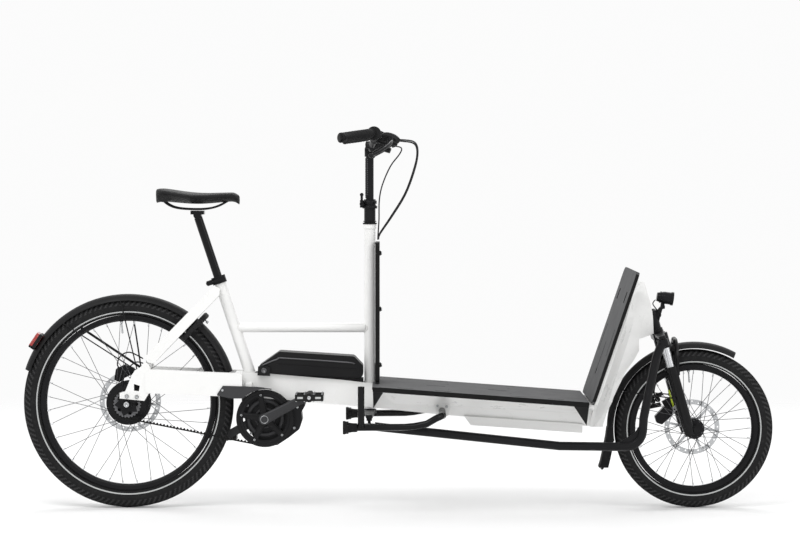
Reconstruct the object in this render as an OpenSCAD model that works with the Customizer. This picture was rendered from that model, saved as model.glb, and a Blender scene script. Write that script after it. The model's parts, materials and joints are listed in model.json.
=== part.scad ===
// Front-loading cargo bicycle: deep white beam frame, flat cargo deck, mid motor, toothed belt,
// suspension fork steered by a long bent tie rod, folding two-leg stand.
// Origin: ground level, middle of the bicycle. +X forward, +Y to the rider's left, +Z up.

/* [Wheels] */
// Outside diameter of the rear tyre
rear_od = 683; // [679:1:686]
// Width of the rear tyre
rear_w = 62; // [56:1:62]
// Outside diameter of the front tyre
front_od = 516; // [512:1:518]
// Width of the front tyre
front_w = 54; // [48:1:56]
// Spokes in each wheel
spokes = 36; // [36:36:36]
// Rear brake disc diameter
rotor_r_d = 200; // [180:10:200]
// Front brake disc diameter
rotor_f_d = 180; // [160:10:180]

/* [Frame] */
// Outside diameter of the seat tube
seat_tube_d = 37; // [35:1:38]
// Outside diameter of the top tube
top_tube_d = 31; // [28:1:34]
// Outside diameter of the fixed steering tube
column_d = 36; // [35:1:36]
// Width of the main box beam
beam_w = 62; // [56:2:62]

/* [Cargo bed] */
// Width of the cargo deck
deck_w = 450; // [430:5:460]
// Thickness of the cargo deck
deck_t = 9; // [6:1:9]
// Height of the rear board
board_h = 458; // [400:2:470]
// Clear diameter of the four deck bolt holes
deck_hole_d = 6.6; // [5.5:0.1:9]

/* [Drive] */
// Teeth on the crank pulley
pulley_teeth = 50; // [50:1:50]
// Teeth on the hub pulley
sprocket_teeth = 26; // [26:1:26]
// Crank length, spindle to pedal
crank_len = 167; // [160:1:170]

/* [Controls] */
// Radius of the steering arms
link_r = 190; // [190:1:190]
// Width over the handlebar ends
bar_w = 660; // [640:5:660]
// Saddle length
saddle_l = 272; // [255:1:280]

/* [Hidden] */
$fn = 48;
ox = -875.5;
rx = 0;
rz = 341.5;
fx = 1838.5;
fz = 258;
cx = 446;
cz = 295;
head_a = 16;
sx = 1805.5;
sz = 258;
col_x = 785;
white = [0.93, 0.93, 0.92];
black = [0.10, 0.10, 0.11];
grey = [0.36, 0.36, 0.37];
silver = [0.78, 0.79, 0.80];
steel = [0.62, 0.63, 0.64];
rubber = [0.13, 0.13, 0.13];

// ---------- shape helpers ----------
function unit(v) = v / norm(v);
function along(p, i) = unit(p[min(i + 1, len(p) - 1)] - p[max(i - 1, 0)]);
function ring(c, t, up, r, n) = let (u = unit(cross(t, up)), v = cross(t, u))
  [for (k = [0 : n - 1]) c + r * (cos(360 * k / n) * u + sin(360 * k / n) * v)];
function cat(p, i, t) = let (n = len(p) - 1, a = p[max(i - 1, 0)], b = p[i], c = p[min(i + 1, n)],
  e = p[min(i + 2, n)])
  0.5 * (2 * b + (c - a) * t + (2 * a - 5 * b + 4 * c - e) * t * t + (3 * b - a - 3 * c + e) * t * t * t);
function smooth(p, k) = concat([for (i = [0 : len(p) - 2]) for (j = [0 : k - 1]) cat(p, i, j / k)],
  [p[len(p) - 1]]);

module at0() translate([ox, 0, 0]) children();
module loft(rings) {
  m = len(rings);
  n = len(rings[0]);
  pts = [for (r = rings) for (q = r) q];
  sides = [for (i = [0 : m - 2]) for (k = [0 : n - 1])
    [i * n + k, (i + 1) * n + k, (i + 1) * n + (k + 1) % n, i * n + (k + 1) % n]];
  polyhedron(points = pts, faces = concat(sides, [[for (k = [0 : n - 1]) k]],
    [[for (k = [n - 1 : -1 : 0]) (m - 1) * n + k]]), convexity = 8);
}
module sweep(p, r, n = 8, up = [0, 1, 0])
  loft([for (i = [0 : len(p) - 1]) ring(p[i], along(p, i), up, r, n)]);
module rod(a, b, r) {
  v = b - a;
  translate(a) rotate([0, acos(v[2] / norm(v)), atan2(v[1], v[0])]) cylinder(r = r, h = norm(v));
}
module xz(y0, y1) translate([0, y1, 0]) rotate([90, 0, 0]) linear_extrude(y1 - y0) children();
module ycyl(x, z, r, y0, y1) translate([x, y0, z]) rotate([-90, 0, 0]) cylinder(r = r, h = y1 - y0);
module zcyl(x, y, r, z0, z1) translate([x, y, z0]) cylinder(r = r, h = z1 - z0);
module both() {
  children();
  mirror([0, 1, 0]) children();
}
module fork_frame() translate([sx, 0, sz]) rotate([0, -head_a, 0]) children();
module rear_wheel() translate([rx, 0, rz]) rotate([-90, 0, 0]) children();
module front_wheel() translate([fx, 0, fz]) rotate([-90, 0, 0]) children();

// ---------- frame ----------
beam_pts = [[348, 366], [348, 443], [431, 440], [693, 418], [800, 405.5], [800, 327], [738, 333.5],
  [589, 348]];
stay_pts = [[60, 380], [60, 440], [74, 455], [300, 445.5], [366, 442.5], [373, 436], [373, 372],
  [366, 365.5], [288, 370], [72, 378]];
drop_pts = [[78, 454], [72, 470], [62, 478], [44, 462], [26.8, 450.8], [16.5, 435.3], [-4.2, 384],
  [-22.2, 378.9], [-22.2, 360.8], [57.4, 353.1], [72.9, 378.9]];
insert_pts = [[-26, 376], [-26, 357], [-17, 345], [-17, 334], [-9, 325], [9, 325], [17, 334],
  [18, 345], [62, 354], [60, 368], [30, 374]];

// Main box beam with the two short bridges that carry the chainstays
module main_beam() color(white) at0() difference() {
  union() {
    xz(-beam_w / 2, beam_w / 2) offset(r = 3, $fn = 12) offset(delta = -3) polygon(beam_pts);
    xz(beam_w / 2 - 1, 63) polygon([[348, 374], [348, 440], [372, 439], [372, 374]]);
    xz(-63, 1 - beam_w / 2) polygon([[348, 402], [348, 440], [372, 439], [372, 402]]);
  }
  zcyl(col_x, 0, column_d / 2, 300, 430);
}
module stay_side() {
  xz(-79, -63) offset(r = 3, $fn = 12) offset(delta = -3) polygon(stay_pts);
  difference() {
    xz(-76, -67) polygon(drop_pts);
    xz(-90, -50) polygon([[24, 408], [43, 402], [40, 384], [24, 386]]);
    ycyl(33, 366, 3.4, -90, -50);
    ycyl(1, 368, 3.4, -90, -50);
  }
}
// Right chainstay and its dropout plate
module chainstay_right() color(white) at0() stay_side();
// Left chainstay and its dropout plate
module chainstay_left() color(white) at0() mirror([0, 1, 0]) stay_side();
// Fixed rear axle with the two sliding dropout inserts and their bolts
module rear_axle() color(black) at0() {
  ycyl(rx, rz, 5.6, -82, 82);
  both() {
    xz(-66.8, -60.5) polygon(insert_pts);
    ycyl(rx, rz, 11, -82, -66.8);
    ycyl(33, 366, 3.1, -80, -66);
    ycyl(33, 366, 6, -80.5, -76.2);
    ycyl(1, 368, 3.1, -80, -66);
    ycyl(1, 368, 6, -80.5, -76.2);
  }
}
// Seat tube, open at the top for the post
module seat_tube() color(white) at0() difference() {
  rod([397.5, 0, 429.5], [294.4, 0, 741], seat_tube_d / 2);
  rod([392, 0, 446.1], [290, 0, 754.3], 14);
}
// Horizontal top tube
module top_tube() color(white) at0() difference() {
  rod([354, 0, 585.7], [769, 0, 585.7], top_tube_d / 2);
  seat_bore();
}
module seat_bore() rod([392, 0, 446.1], [285, 0, 769.4], 14.2);
// Fixed outer steering tube with its black top bearing
module column_tube() color(white) at0() difference() {
  union() {
    zcyl(col_x, 0, column_d / 2, 322, 910);
    zcyl(col_x, 0, 21, 908, 922);
    translate([col_x + 16, -9, 470]) cube([9, 18, 388]);
  }
  zcyl(col_x, 0, 15.2, 300, 940);
}
// Two seatstays and the bridge that joins them to the seat tube
module seatstays() color(white) at0() difference() {
  union() {
    both() xz(-69, -53) polygon([[268, 710], [285, 724], [301, 716], [300, 695], [86, 473],
      [66, 478], [60, 496]]);
    xz(-60, 60) offset(r = 4, $fn = 12) polygon([[282, 700], [286, 714], [297, 712], [294, 697]]);
  }
  seat_bore();
}
function hull_ring(x, zb, wb, zm, wm, zt, wt) = [[x, wb, zb], [x, wm, zm], [x, wt, zt - 12],
  [x, wt, zt], [x, -wt, zt], [x, -wt, zt - 12], [x, -wm, zm], [x, -wb, zb]];
// White beam under the deck: narrow keel flaring out to the deck
module cargo_hull() color(white) at0() difference() {
  union() {
    hull_body();
    xz(-52, 52) polygon([[1090, 302], [1474, 276], [1474, 247], [1112, 272]]);
  }
  zcyl(col_x, 0, column_d / 2, 300, 430);
  ycyl(1019, 319, 11.6, -90, 90);
}
module hull_body() loft([hull_ring(795, 328, 36, 345, 44, 401, 90), hull_ring(870, 320, 38, 340, 48, 395.5, 125),
    hull_ring(1055, 302, 40, 334, 54, 382, 150), hull_ring(1280, 284, 42, 322, 60, 366, 170),
    hull_ring(1472, 270, 42, 312, 66, 352, 190), hull_ring(1502, 267, 42, 310, 66, 350, 190)]);
// Head tube with headset cups and the lamp bracket
module head_tube() color(black) at0() difference() {
  union() {
    head_cups();
    lamp_bracket();
  }
  fork_frame() translate([0, 0, 300]) cylinder(r = 14.6, h = 120);
}
module head_cups() fork_frame() difference() {
  union() {
    translate([0, 0, 324]) cylinder(r = 20.5, h = 71);
    translate([0, 0, 324]) cylinder(r = 24, h = 12);
    translate([0, 0, 383]) cylinder(r = 24, h = 12);
    translate([0, 0, 395]) cylinder(r1 = 24, r2 = 15.2, h = 6);
  }
  translate([0, 0, 300]) cylinder(r = 14.6, h = 120);
}
function shell_ring(z, xr, wr, xm, wm, xf, wf) = [[xr, -wr, z], [xr + 10, -wr, z], [xm, -wm, z],
  [xf - 12, -wf - 4, z], [xf, -wf + 8, z], [xf, wf - 8, z], [xf - 12, wf + 4, z], [xm, wm, z],
  [xr + 10, wr, z], [xr, wr, z]];
// White nose between the slanted panel and the head tube
module front_shell() color(white) at0() difference() {
  loft([shell_ring(266, 1500, 42, 1530, 46, 1572, 44), shell_ring(300, 1500, 90, 1535, 70, 1584, 62),
    shell_ring(352, 1502, 200, 1556, 100, 1602, 84), shell_ring(412, 1522.5, 214, 1572, 112, 1626, 80),
    shell_ring(470, 1542.2, 214, 1590, 112, 1652, 64), shell_ring(560, 1572.8, 206, 1620, 104, 1706, 40),
    shell_ring(641, 1600.3, 176, 1640, 96, 1703, 30), shell_ring(700, 1620.4, 128, 1652, 84, 1686, 30),
    shell_ring(736, 1632.6, 76, 1660, 60, 1676, 30)]);
  fork_frame() {
    rotate_extrude($fn = 72) polygon([[0, -60], [264, -60], [264, 60], [244, 117], [222, 162],
      [194, 202], [161, 237], [121, 265], [99, 288], [99, 325], [0, 325]]);
    translate([0, 0, 324]) cylinder(r = 24.2, h = 90);
  }
}

// ---------- cargo bed ----------
deck_k = (361 - 410.8) / (1484.7 - 794.5);
function deck_z(x) = 410.8 + (x - 794.5) * deck_k;
module gusset(a, b, c) loft([[a, b, c], [a + [6, 0, 0], b + [6, 0, 0], c + [6, 0, 0]]]);
// Sloping cargo deck with slots, four bolt holes and corner gussets
module deck() color(grey) at0() difference() {
  union() {
    xz(-deck_w / 2, deck_w / 2) polygon([[794.5, 410], [817.5, deck_z(817.5) - 0.8], [817.5, deck_z(817.5)],
      [1484.7, 361], [1484, 361 - deck_t], [794, 410.8 - deck_t]]);
    both() {
      xz(-deck_w / 2, 3 - deck_w / 2) polygon([[796, 409], [1483, 359], [1483, 345], [796, 395]]);
      translate([0, 0, -deck_t + 0.5]) loft([
        [[1430, -222, deck_z(1430)], [1484, -222, deck_z(1484)], [1484, -104, 284]],
        [[1430, -217, deck_z(1430)], [1484, -217, deck_z(1484)], [1484, -99, 284]]]);
      translate([0, 0, -deck_t + 0.5]) loft([
        [[797, -222, deck_z(797)], [834, -222, deck_z(834)], [797, -104, 340]],
        [[797, -217, deck_z(797)], [834, -217, deck_z(834)], [797, -99, 340]]]);
    }
  }
  zcyl(col_x, 0, 26, 300, 450);
  for (a = [45 : 90 : 315]) translate([1140, 0, deck_z(1140)]) rotate([0, 4.127, 0])
    rotate([0, 0, a]) translate([141.42, 0, -60]) cylinder(d = deck_hole_d, h = 90);
  for (x = [900, 1020, 1260, 1380]) both() translate([x - 26, 186, 300]) cube([52, 8, 140]);
  for (x = [1000, 1200]) translate([x - 30, -4, 376]) cube([60, 8, 60]);
}
// Upright rear board with three bolts
module rear_board() color(grey) at0() {
  difference() {
    translate([803.5, 0, 0]) rotate([90, 0, 90]) linear_extrude(13) offset(r = 14) offset(delta = -14)
      polygon([[-97, 410.4], [97, 410.4], [97, 406 + board_h], [-97, 406 + board_h]]);
    translate([700, -9.5, 469.5]) cube([111, 19, 389]);
    translate([700, -19, 400]) cube([104, 38, 80]);
  }
  for (z = [464, 646, 828]) translate([815, 0, z]) rotate([0, 90, 0]) cylinder(r = 8, h = 5.5);
}
// Slanted front panel with slots and a long keyhole
module front_panel() color(grey) at0() translate([1492.5, 0, 361]) rotate([0, 18.77, 0]) difference() {
  rotate([90, 0, 90]) linear_extrude(11.5) offset(r = 24) offset(delta = -24)
    polygon([[-224, -4], [224, -4], [228, 200], [228, 438], [-228, 438], [-228, 200]]);
  both() translate([-10, 120, 330]) cube([40, 26, 36]);
  translate([-10, 0, 90]) rotate([0, 90, 0]) cylinder(r = 12, h = 40);
  translate([-10, -5, 90]) cube([40, 10, 100]);
  both() translate([-10, 150, 150]) cube([40, 10, 90]);
}

// ---------- rear of the frame ----------
module fender_arc(rc, rr, th, a0, a1, cut) rotate([180, 0, 0]) rotate_extrude(angle = a1 - a0,
  start = a0, $fn = 120) intersection() {
  translate([rc, 0]) difference() {
    circle(r = rr, $fn = 32);
    circle(r = rr - th, $fn = 32);
  }
  translate([cut, -60]) square([400, 120]);
}
// Rear mudguard with its wire stays and the bar on the left
module rear_fender() color(black) at0() {
  rear_wheel() fender_arc(319, 35, 2.5, 17, 162, 333);
  fender_stays();
}
module fender_stays() {
  rod([-211.5, -31, 602.6], [34, -64, 449], 2);
  rod([-23.4, -31, 676.7], [34, -64, 449], 2);
  rod([34, -71, 449], [34, -61, 449], 4);
  rod([-200, 34.5, 611], [34, 64, 450], 4);
  rod([4, 32, 677], [34, 62, 450], 2.6);
  rod([34, 73, 450], [34, 56, 450], 6);
}
// Red tail lamp in a black housing
module tail_light() color([0.75, 0.06, 0.06]) at0() translate([rx, 0, rz]) rotate([0, -146, 0])
  difference() {
    translate([350, 0, 0]) rotate([0, 90, 0]) linear_extrude(22) offset(r = 9) square([34, 44], center = true);
    translate([340, -40, -60]) cube([14.2, 80, 30]);
    translate([319, 0, 0]) rotate([90, 0, 0]) cylinder(r = 35.3, h = 0.01);
  }
// Plate between beam and battery
module battery_base() color(black) at0() {
  xz(-30, 30) polygon([[412, 441.8], [431, 440.1], [693, 418.1], [764, 410], [764, 422], [560, 432.9],
    [412, 441.9]]);
  xz(-58, -29) polygon([[422, 434], [462, 432], [462, 437], [422, 440]]);
  xz(-58, -46) polygon([[422, 436], [462, 433], [462, 458], [452, 463], [424, 463]]);
  ycyl(443, 450, 6.5, -62, -57);
}
// Removable battery pack with handle recess and side rib
module battery() color(black) at0() difference() {
  xz(-45, 45) offset(r = 14, $fn = 40) offset(delta = -14) polygon([[420, 460], [492, 510.6],
    [734, 495], [763.5, 464.7], [764, 424.5], [560, 434.5], [424, 443]]);
  xz(30, 60) polygon([[620, 448], [730, 441], [730, 468], [620, 476]]);
  xz(-60, -43.5) polygon([[480, 470], [740, 452], [740, 455], [480, 473]]);
}
motor_pts = [[368, 362.5], [374, 330], [384, 268], [412, 226], [446, 207], [485, 206], [524, 232],
  [556.5, 257.8], [566, 287], [563, 313], [576, 336], [572, 348.6], [446, 358]];
// Mid motor hung under the beam
module motor() color(black) at0() difference() {
  union() {
    xz(-40, 42) offset(r = 8, $fn = 24) offset(delta = -8) polygon(motor_pts);
    ycyl(cx, cz, 66, 41, 47);
    ycyl(cx, cz, 40, 46, 56);
    ycyl(cx, cz, 22, 55, 72);
    ycyl(cx, cz, 40, -46, -39);
    for (p = [[400, 245], [540, 262], [388, 335], [550, 330]]) ycyl(p[0], p[1], 7, 41, 50);
  }
  ycyl(cx, cz, 10.6, -90, 90);
}
// Thin grey guard over the top of the belt
module belt_cover() color([0.5, 0.5, 0.51]) at0() {
  difference() {
    xz(-82, -79) offset(r = 4, $fn = 12) offset(delta = -4) polygon([[290, 371], [311, 402.3],
      [420, 399], [446, 396.5], [450, 388], [400, 361.2], [340, 361.2]]);
    ycyl(cx, cz, 96, -90, -70);
  }
  xz(-80, -64.6) polygon([[376, 396.5], [376, 399], [420, 398], [468, 391.6], [468, 389.4], [440, 393]]);
  xz(-66, -30) polygon([[384, 397], [384, 410], [404, 409], [404, 398]]);
}
module arc3(r, a0, a1) rotate_extrude(angle = a1 - a0, start = a0, $fn = 64) translate([r, 0])
  children();
lock_a = 46.4;
module lock_frame() translate([rx, 0, rz]) rotate([0, -lock_a, 0]) translate([312, 0, 13]) children();
// Horseshoe body of the frame lock
module ring_lock() color(black) at0() lock_frame() difference() {
  union() {
    arc3(55.5, -132, 132) square([17, 26], center = true);
    translate([47, -26, -13]) cube([26, 52, 26]);
    translate([-8, -72, -10]) cube([60, 14, 20]);
    both() translate([2, -66, 10]) cube([22, 13, 9]);
  }
  arc3(55, -140, 140) circle(r = 5, $fn = 20);
  translate([0, 0, -4]) arc3(55, -117, 16) square([5, 24], center = true);
}
// Steel bow that closes the lock through the wheel
module lock_shackle() color(steel) at0() lock_frame() {
  arc3(55, -128, -2) circle(r = 4, $fn = 16);
  rotate([0, 0, -6]) translate([55, 0, -17]) cylinder(r = 1.9, h = 17);
  rotate([0, 0, -6]) translate([55, 0, -22]) cylinder(r = 4.5, h = 7.6);
}
module seat_frame() translate([294.4, 0, 741]) rotate([0, -18.31, 0]) children();
// Collar that clamps the seat post, with its quick-release lever
module seat_collar() color(black) at0() seat_frame() difference() {
  union() {
    translate([0, 0, -12]) cylinder(r = 23.5, h = 24);
    translate([-40, -13, -8]) cube([24, 26, 16]);
    translate([-34, -30, 0]) rotate([-90, 0, 0]) cylinder(r = 3, h = 56);
    translate([-34, 15, 0]) rotate([-90, 0, 0]) cylinder(r = 7, h = 9);
    translate([-34, -26, 0]) rotate([-90, 0, 0]) cylinder(r = 8, h = 12);
    translate([-37, -28, -4]) cube([60, 5, 8]);
  }
  translate([0, 0, -40]) cylinder(r = 18.6, h = 40);
  translate([0, 0, -1]) cylinder(r = 13.95, h = 40);
  translate([-60, -1, -20]) cube([42, 2, 40]);
}
// Disc brake caliper above the rear hub
module rear_caliper() color(black) at0() difference() {
  union() {
    xz(38, 64) offset(r = 4, $fn = 16) offset(delta = -4) polygon([[-52, 412], [-46, 448], [-18, 462],
      [14, 450], [12, 432], [-18, 418], [-34, 404]]);
    xz(58, 70) polygon([[-4, 418], [26, 436], [44, 448], [40, 436], [8, 408]]);
    ycyl(-30, 436, 9, 62, 69);
  }
  rear_wheel() translate([0, 0, 45]) cylinder(r = 104, h = 6);
}
// Plates under the keel that carry the stand shaft
module stand_bracket() color(black) at0() both() difference() {
  xz(-64, -56) offset(r = 5, $fn = 16) offset(delta = -5) polygon([[992, 350], [1046, 346],
    [1040, 304], [1002, 302]]);
  ycyl(1019, 319, 11.4, -90, -40);
}

// ---------- drive ----------
function gear(n, ra, rb) = [for (i = [0 : n - 1]) for (q = [[-0.32, rb], [-0.2, ra], [0.2, ra],
  [0.32, rb]]) q[1] * [cos(360 * (i + q[0]) / n), sin(360 * (i + q[0]) / n)]];
module belt_loop(d) hull() {
  translate([rx, rz]) circle(r = 45.6 + d, $fn = 96);
  translate([cx, cz]) circle(r = 87.5 + d, $fn = 128);
}
// Toothed drive belt
module drive_belt() color(black) at0() xz(-60.2, -50.2) difference() {
  belt_loop(3.2);
  belt_loop(0);
}
crank_e = [cx + crank_len * cos(28), cz + crank_len * sin(28)];
crank_f = [cx - crank_len * cos(28), cz - crank_len * sin(28)];
module arm2(p, r0, r1) hull() {
  translate([cx, cz]) circle(r = r0, $fn = 32);
  translate(p) circle(r = r1, $fn = 32);
}
// Spindle, both crank arms, toothed pulley and guard ring
module crankset() color(black) at0() {
  ycyl(cx, cz, 10, -98, 98);
  xz(-98, -85) arm2(crank_e, 17, 12);
  xz(85, 98) arm2(crank_f, 17, 12);
  ycyl(cx, cz, 19, -86, -49);
  ycyl(cx, cz, 17, 74, 86);
  xz(-60, -51) translate([cx, cz]) difference() {
    polygon(gear(pulley_teeth, 87, 84));
    circle(r = 74);
  }
  xz(-64, -61) translate([cx, cz]) difference() {
    circle(r = 93, $fn = 96);
    circle(r = 73);
  }
  xz(-63.5, -58) translate([cx, cz]) for (i = [0 : 4]) rotate(72 * i + 28)
    polygon([[12, -13], [76, -8], [76, 8], [12, 13]]);
}
module pedal_body(y0) difference() {
  union() {
    translate([-45, y0, -10]) cube([90, 96, 20]);
    translate([0, y0 - 0.01, 0]) rotate([-90, 0, 0]) cylinder(r = 14, h = 97, $fn = 32);
  }
  for (s = [-1, 1]) for (k = [0, 1]) translate([s > 0 ? 19 : -37, y0 + 8 + 42 * k, -20]) cube([18, 38, 40]);
  translate([0, y0 - 30, 0]) rotate([-90, 0, 0]) cylinder(r = 6.6, h = 200, $fn = 32);
}
module pedal_axle(p, y0, y1) ycyl(p[0], p[1], 6, y0, y1);
// Right pedal
module pedal_right() color(black) at0() translate([crank_e[0], 0, crank_e[1]]) pedal_body(-201);
// Left pedal
module pedal_left() color(black) at0() translate([crank_f[0], 0, crank_f[1]]) pedal_body(105);

// ---------- wheels ----------
module tyre_profile(ro, w, rb) difference() {
  translate([ro - w / 2, 0]) circle(r = w / 2, $fn = 40);
  translate([ro - w / 2, 0]) circle(r = w / 2 - 4.5, $fn = 40);
  translate([0, -60]) square([rb, 120]);
}
module tyre(ro, w, rb) rotate_extrude($fn = 120) {
  tyre_profile(ro, w, rb);
  for (s = [-1, 1]) translate([ro - 1.8, s * 3.2 - 1.2]) square([2.6, 2.4]);
  for (s = [-1, 1]) translate([ro - 3.3, s * 11 - 1.6]) square([2.6, 3.2]);
}
module rim(ri, ro, w) rotate_extrude($fn = 120) polygon([[ri, -6], [ri, 6], [ri + 6, w / 2 - 1],
  [ro - 3, w / 2 + 2], [ro - 0.3, w / 2 + 1], [ro - 0.3, w / 2 - 1.5], [ro - 5, w / 2 - 1.5],
  [ri + 6.5, 8], [ri + 6.5, -8], [ro - 5, 1.5 - w / 2], [ro - 0.3, 1.5 - w / 2],
  [ro - 0.3, -w / 2 - 1], [ro - 3, -w / 2 - 2], [ri + 6, 1 - w / 2]]);
module lacing(n, ri, rf, yf, cr, ph) for (k = [0 : n - 1]) {
  a = 360 * k / n + ph;
  s = k % 2 == 0 ? 1 : -1;
  t = (floor(k / 2) % 2 == 0 ? 1 : -1) * cr;
  rod([rf * cos(a + t), rf * sin(a + t), s * (yf + (t > 0 ? 1.5 : -1.5))],
    [(ri + 3) * cos(a), (ri + 3) * sin(a), s * (t > 0 ? 4 : 1.5)], 1, $fn = 6);
}
module rotor(d, ri, y) translate([0, 0, y]) {
  linear_extrude(2) difference() {
    circle(r = d / 2, $fn = 96);
    circle(r = d / 2 - 16, $fn = 96);
    for (i = [0 : 23]) rotate(15 * i) translate([d / 2 - (i % 2 == 0 ? 6 : 10), 0]) circle(r = 3, $fn = 8);
  }
  linear_extrude(2) for (i = [0 : 5]) rotate(60 * i) polygon([[ri - 3, -5], [d / 2 - 15, 9],
    [d / 2 - 15, 16], [ri - 3, 6]]);
  linear_extrude(2) difference() {
    circle(r = ri + 6);
    circle(r = ri - 6);
  }
}
// Front tyre
module front_tyre() color(rubber) at0() front_wheel() tyre(front_od / 2, front_w, 210);
// Front rim
module front_rim() color(black) at0() front_wheel() rim(189, 209.5, 30);
// Front spokes
module front_spokes() color(steel) at0() front_wheel() lacing(spokes, 189, 27, 29, 62, 0);
// Front dynamo hub with its brake disc
module front_hub() color(black) at0() front_wheel() {
  difference() {
    union() {
      translate([0, 0, -34]) cylinder(r = 22, h = 68);
      translate([0, 0, -26]) cylinder(r = 28, h = 52);
      for (s = [-1, 1]) translate([0, 0, s * 29 - 1.5]) cylinder(r = 33, h = 3);
      translate([0, 0, 33]) cylinder(r = 20, h = 9);
      rotor(rotor_f_d, 22, 38.5);
    }
    translate([0, 0, -60]) cylinder(r = 5.2, h = 120);
  }
}
// Rear tyre
module rear_tyre() color(rubber) at0() rear_wheel() tyre(rear_od / 2, rear_w, 286);
// Rear rim
module rear_rim() color(black) at0() rear_wheel() rim(266, 285.5, 34);
// Rear spokes
module rear_spokes() color(steel) at0() rear_wheel() lacing(spokes, 266, 66, 24, 34, 4.3);
// Large geared rear hub with its brake disc
module rear_hub() color(black) at0() rear_wheel() {
  difference() {
    union() {
      translate([0, 0, -30]) cylinder(r = 61, h = 58);
      translate([0, 0, -38]) cylinder(r1 = 40, r2 = 61, h = 8.01);
      translate([0, 0, 27.99]) cylinder(r1 = 61, r2 = 38, h = 9);
      for (s = [-1, 1]) translate([0, 0, s * 24 - 2]) cylinder(r = 71, h = 4);
      translate([0, 0, 36]) cylinder(r = 24, h = 10);
      translate([0, 0, -48.5]) cylinder(r = 30, h = 12);
      rotor(rotor_r_d, 26, 47);
      translate([0, 0, 45]) cylinder(r = 30, h = 2.5);
    }
    translate([0, 0, -60]) cylinder(r = 6, h = 120);
  }
}
// Toothed pulley on the rear hub
module rear_sprocket() color(silver) at0() xz(-60, -50) translate([rx, rz]) difference() {
  polygon(gear(sprocket_teeth, 45.1, 42));
  circle(r = 6.1);
  for (i = [0 : 4]) rotate(72 * i) translate([31, 0]) circle(r = 5.5, $fn = 24);
}

// ---------- steering ----------
ball_r = [col_x, -link_r, 283];
ball_f = [0, -link_r, 307];
module shaft() difference() {
  union() {
    zcyl(col_x, 0, 14.8, 306, 973);
    zcyl(col_x, 0, 18.5, 924, 973);
    zcyl(col_x, 0, 21, 306, 320);
    translate([0, 0, 308]) linear_extrude(11) hull() {
      translate([col_x, 0]) circle(r = 17, $fn = 32);
      translate([col_x, -link_r]) circle(r = 11, $fn = 32);
    }
    zcyl(col_x, -link_r, 5, 271, 310);
    zcyl(col_x, -link_r, 8, 269, 272);
    zcyl(col_x, -link_r, 9, 300, 309);
  }
  zcyl(col_x, 0, 12.9, 560, 1000);
}
// Steering shaft with its arm, ball stud and top clamp rings
module column_shaft() color(black) at0() {
  shaft();
  post_clamp();
}
module post_clamp() difference() {
  union() {
    zcyl(col_x, 0, 20.5, 973.2, 985);
    zcyl(col_x, 0, 19, 985, 1003);
    translate([col_x - 32, -10, 976]) cube([18, 20, 24]);
    ycyl(col_x - 26, 988, 3, -24, 24);
  }
  zcyl(col_x, 0, 12.9, 960, 1010);
  translate([col_x - 40, -1, 960]) cube([30, 2, 60]);
}
// Lever that tightens the clamp
module clamp_lever() color(black) at0() difference() {
  union() {
    ycyl(col_x - 26, 988, 7, -23, -11);
    translate([col_x - 30, -23, 990]) cube([8, 6, 26]);
    ycyl(col_x - 26, 1018, 6, -25, -15);
  }
  ycyl(col_x - 26, 988, 3.4, -30, 0);
}
// Height-adjustable inner post with the stem head
module stem_post() color(silver) at0() {
  zcyl(col_x, 0, 12.5, 760, 1146);
  difference() {
    union() {
      zcyl(col_x, 0, 17, 1141, 1168);
      translate([col_x + 6, 0, 1164]) rotate([90, 0, 0]) cylinder(r = 22, h = 52, center = true);
      translate([col_x + 24, -22, 1156]) cube([8, 44, 16]);
    }
    translate([col_x + 6, 0, 1164]) rotate([90, 0, 0]) cylinder(r = 16, h = 80, center = true);
  }
}
bar_half = [[791, 0, 1164], [791, -40, 1164], [796, -90, 1184], [803, -140, 1206], [802, -196, 1216],
  [776, -250, 1211], [736, -292, 1205], [694, -bar_w / 2, 1199]];
bar_path = concat([for (i = [len(bar_half) - 1 : -1 : 1]) bar_half[i]],
  [for (p = bar_half) [p[0], -p[1], p[2]]]);
// Swept-back riser handlebar
module handlebar() color(black) at0() {
  sweep(smooth(bar_path, 3), 11.1, 12, [0, 0, 1]);
  ycyl(791, 1164, 15.8, -34, 34);
}
grip_path = smooth([[792, -218, 1214.8], [776, -250, 1211], [736, -292, 1205], [699, -325, 1200]], 4);
// Handlebar grips
module grips() color(rubber) at0() both() difference() {
  sweep(grip_path, 16.5, 14, [0, 0, 1]);
  sweep(smooth([[812, -170, 1214], [802, -196, 1216], [776, -250, 1211], [736, -292, 1205],
    [694, -330, 1199], [660, -362, 1194]], 4), 11.6, 12, [0, 0, 1]);
}
// Display, lamp switch and the two brake lever clamps
module cockpit() color(black) at0() {
  translate([822, 0, 1196]) rotate([0, 25, 0]) linear_extrude(14) offset(r = 8)
    square([44, 62], center = true);
  both() rod([800, -30, 1170], [818, -26, 1196], 5);
  both() difference() {
    union() {
      rod([803, -138, 1205], [804, -153, 1208.6], 18);
      rod([806, -146, 1194], [842, -152, 1192], 9);
      rod([838, -126, 1196], [846, -178, 1190], 10);
    }
    rod([796, -90, 1184], [803, -140, 1206], 11.5);
    rod([803, -139, 1205.6], [802, -196, 1216], 11.5);
    translate([852, -190, 1196]) cylinder(r = 11, h = 30, center = true);
  }
}
lever_path = [[852, -190, 1192], [856, -214, 1188], [846, -244, 1176], [824, -280, 1160],
  [796, -312, 1146]];
module lever_side() {
  translate([852, -190, 1196]) cylinder(r = 9.6, h = 14, center = true);
  sweep(smooth(lever_path, 3), 5.5, 8, [0, 0, 1]);
  translate([792, -316, 1144]) sphere(r = 8, $fn = 24);
}
// Right brake lever
module brake_lever_right() color(black) at0() lever_side();
// Left brake lever
module brake_lever_left() color(black) at0() mirror([0, 1, 0]) lever_side();
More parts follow.
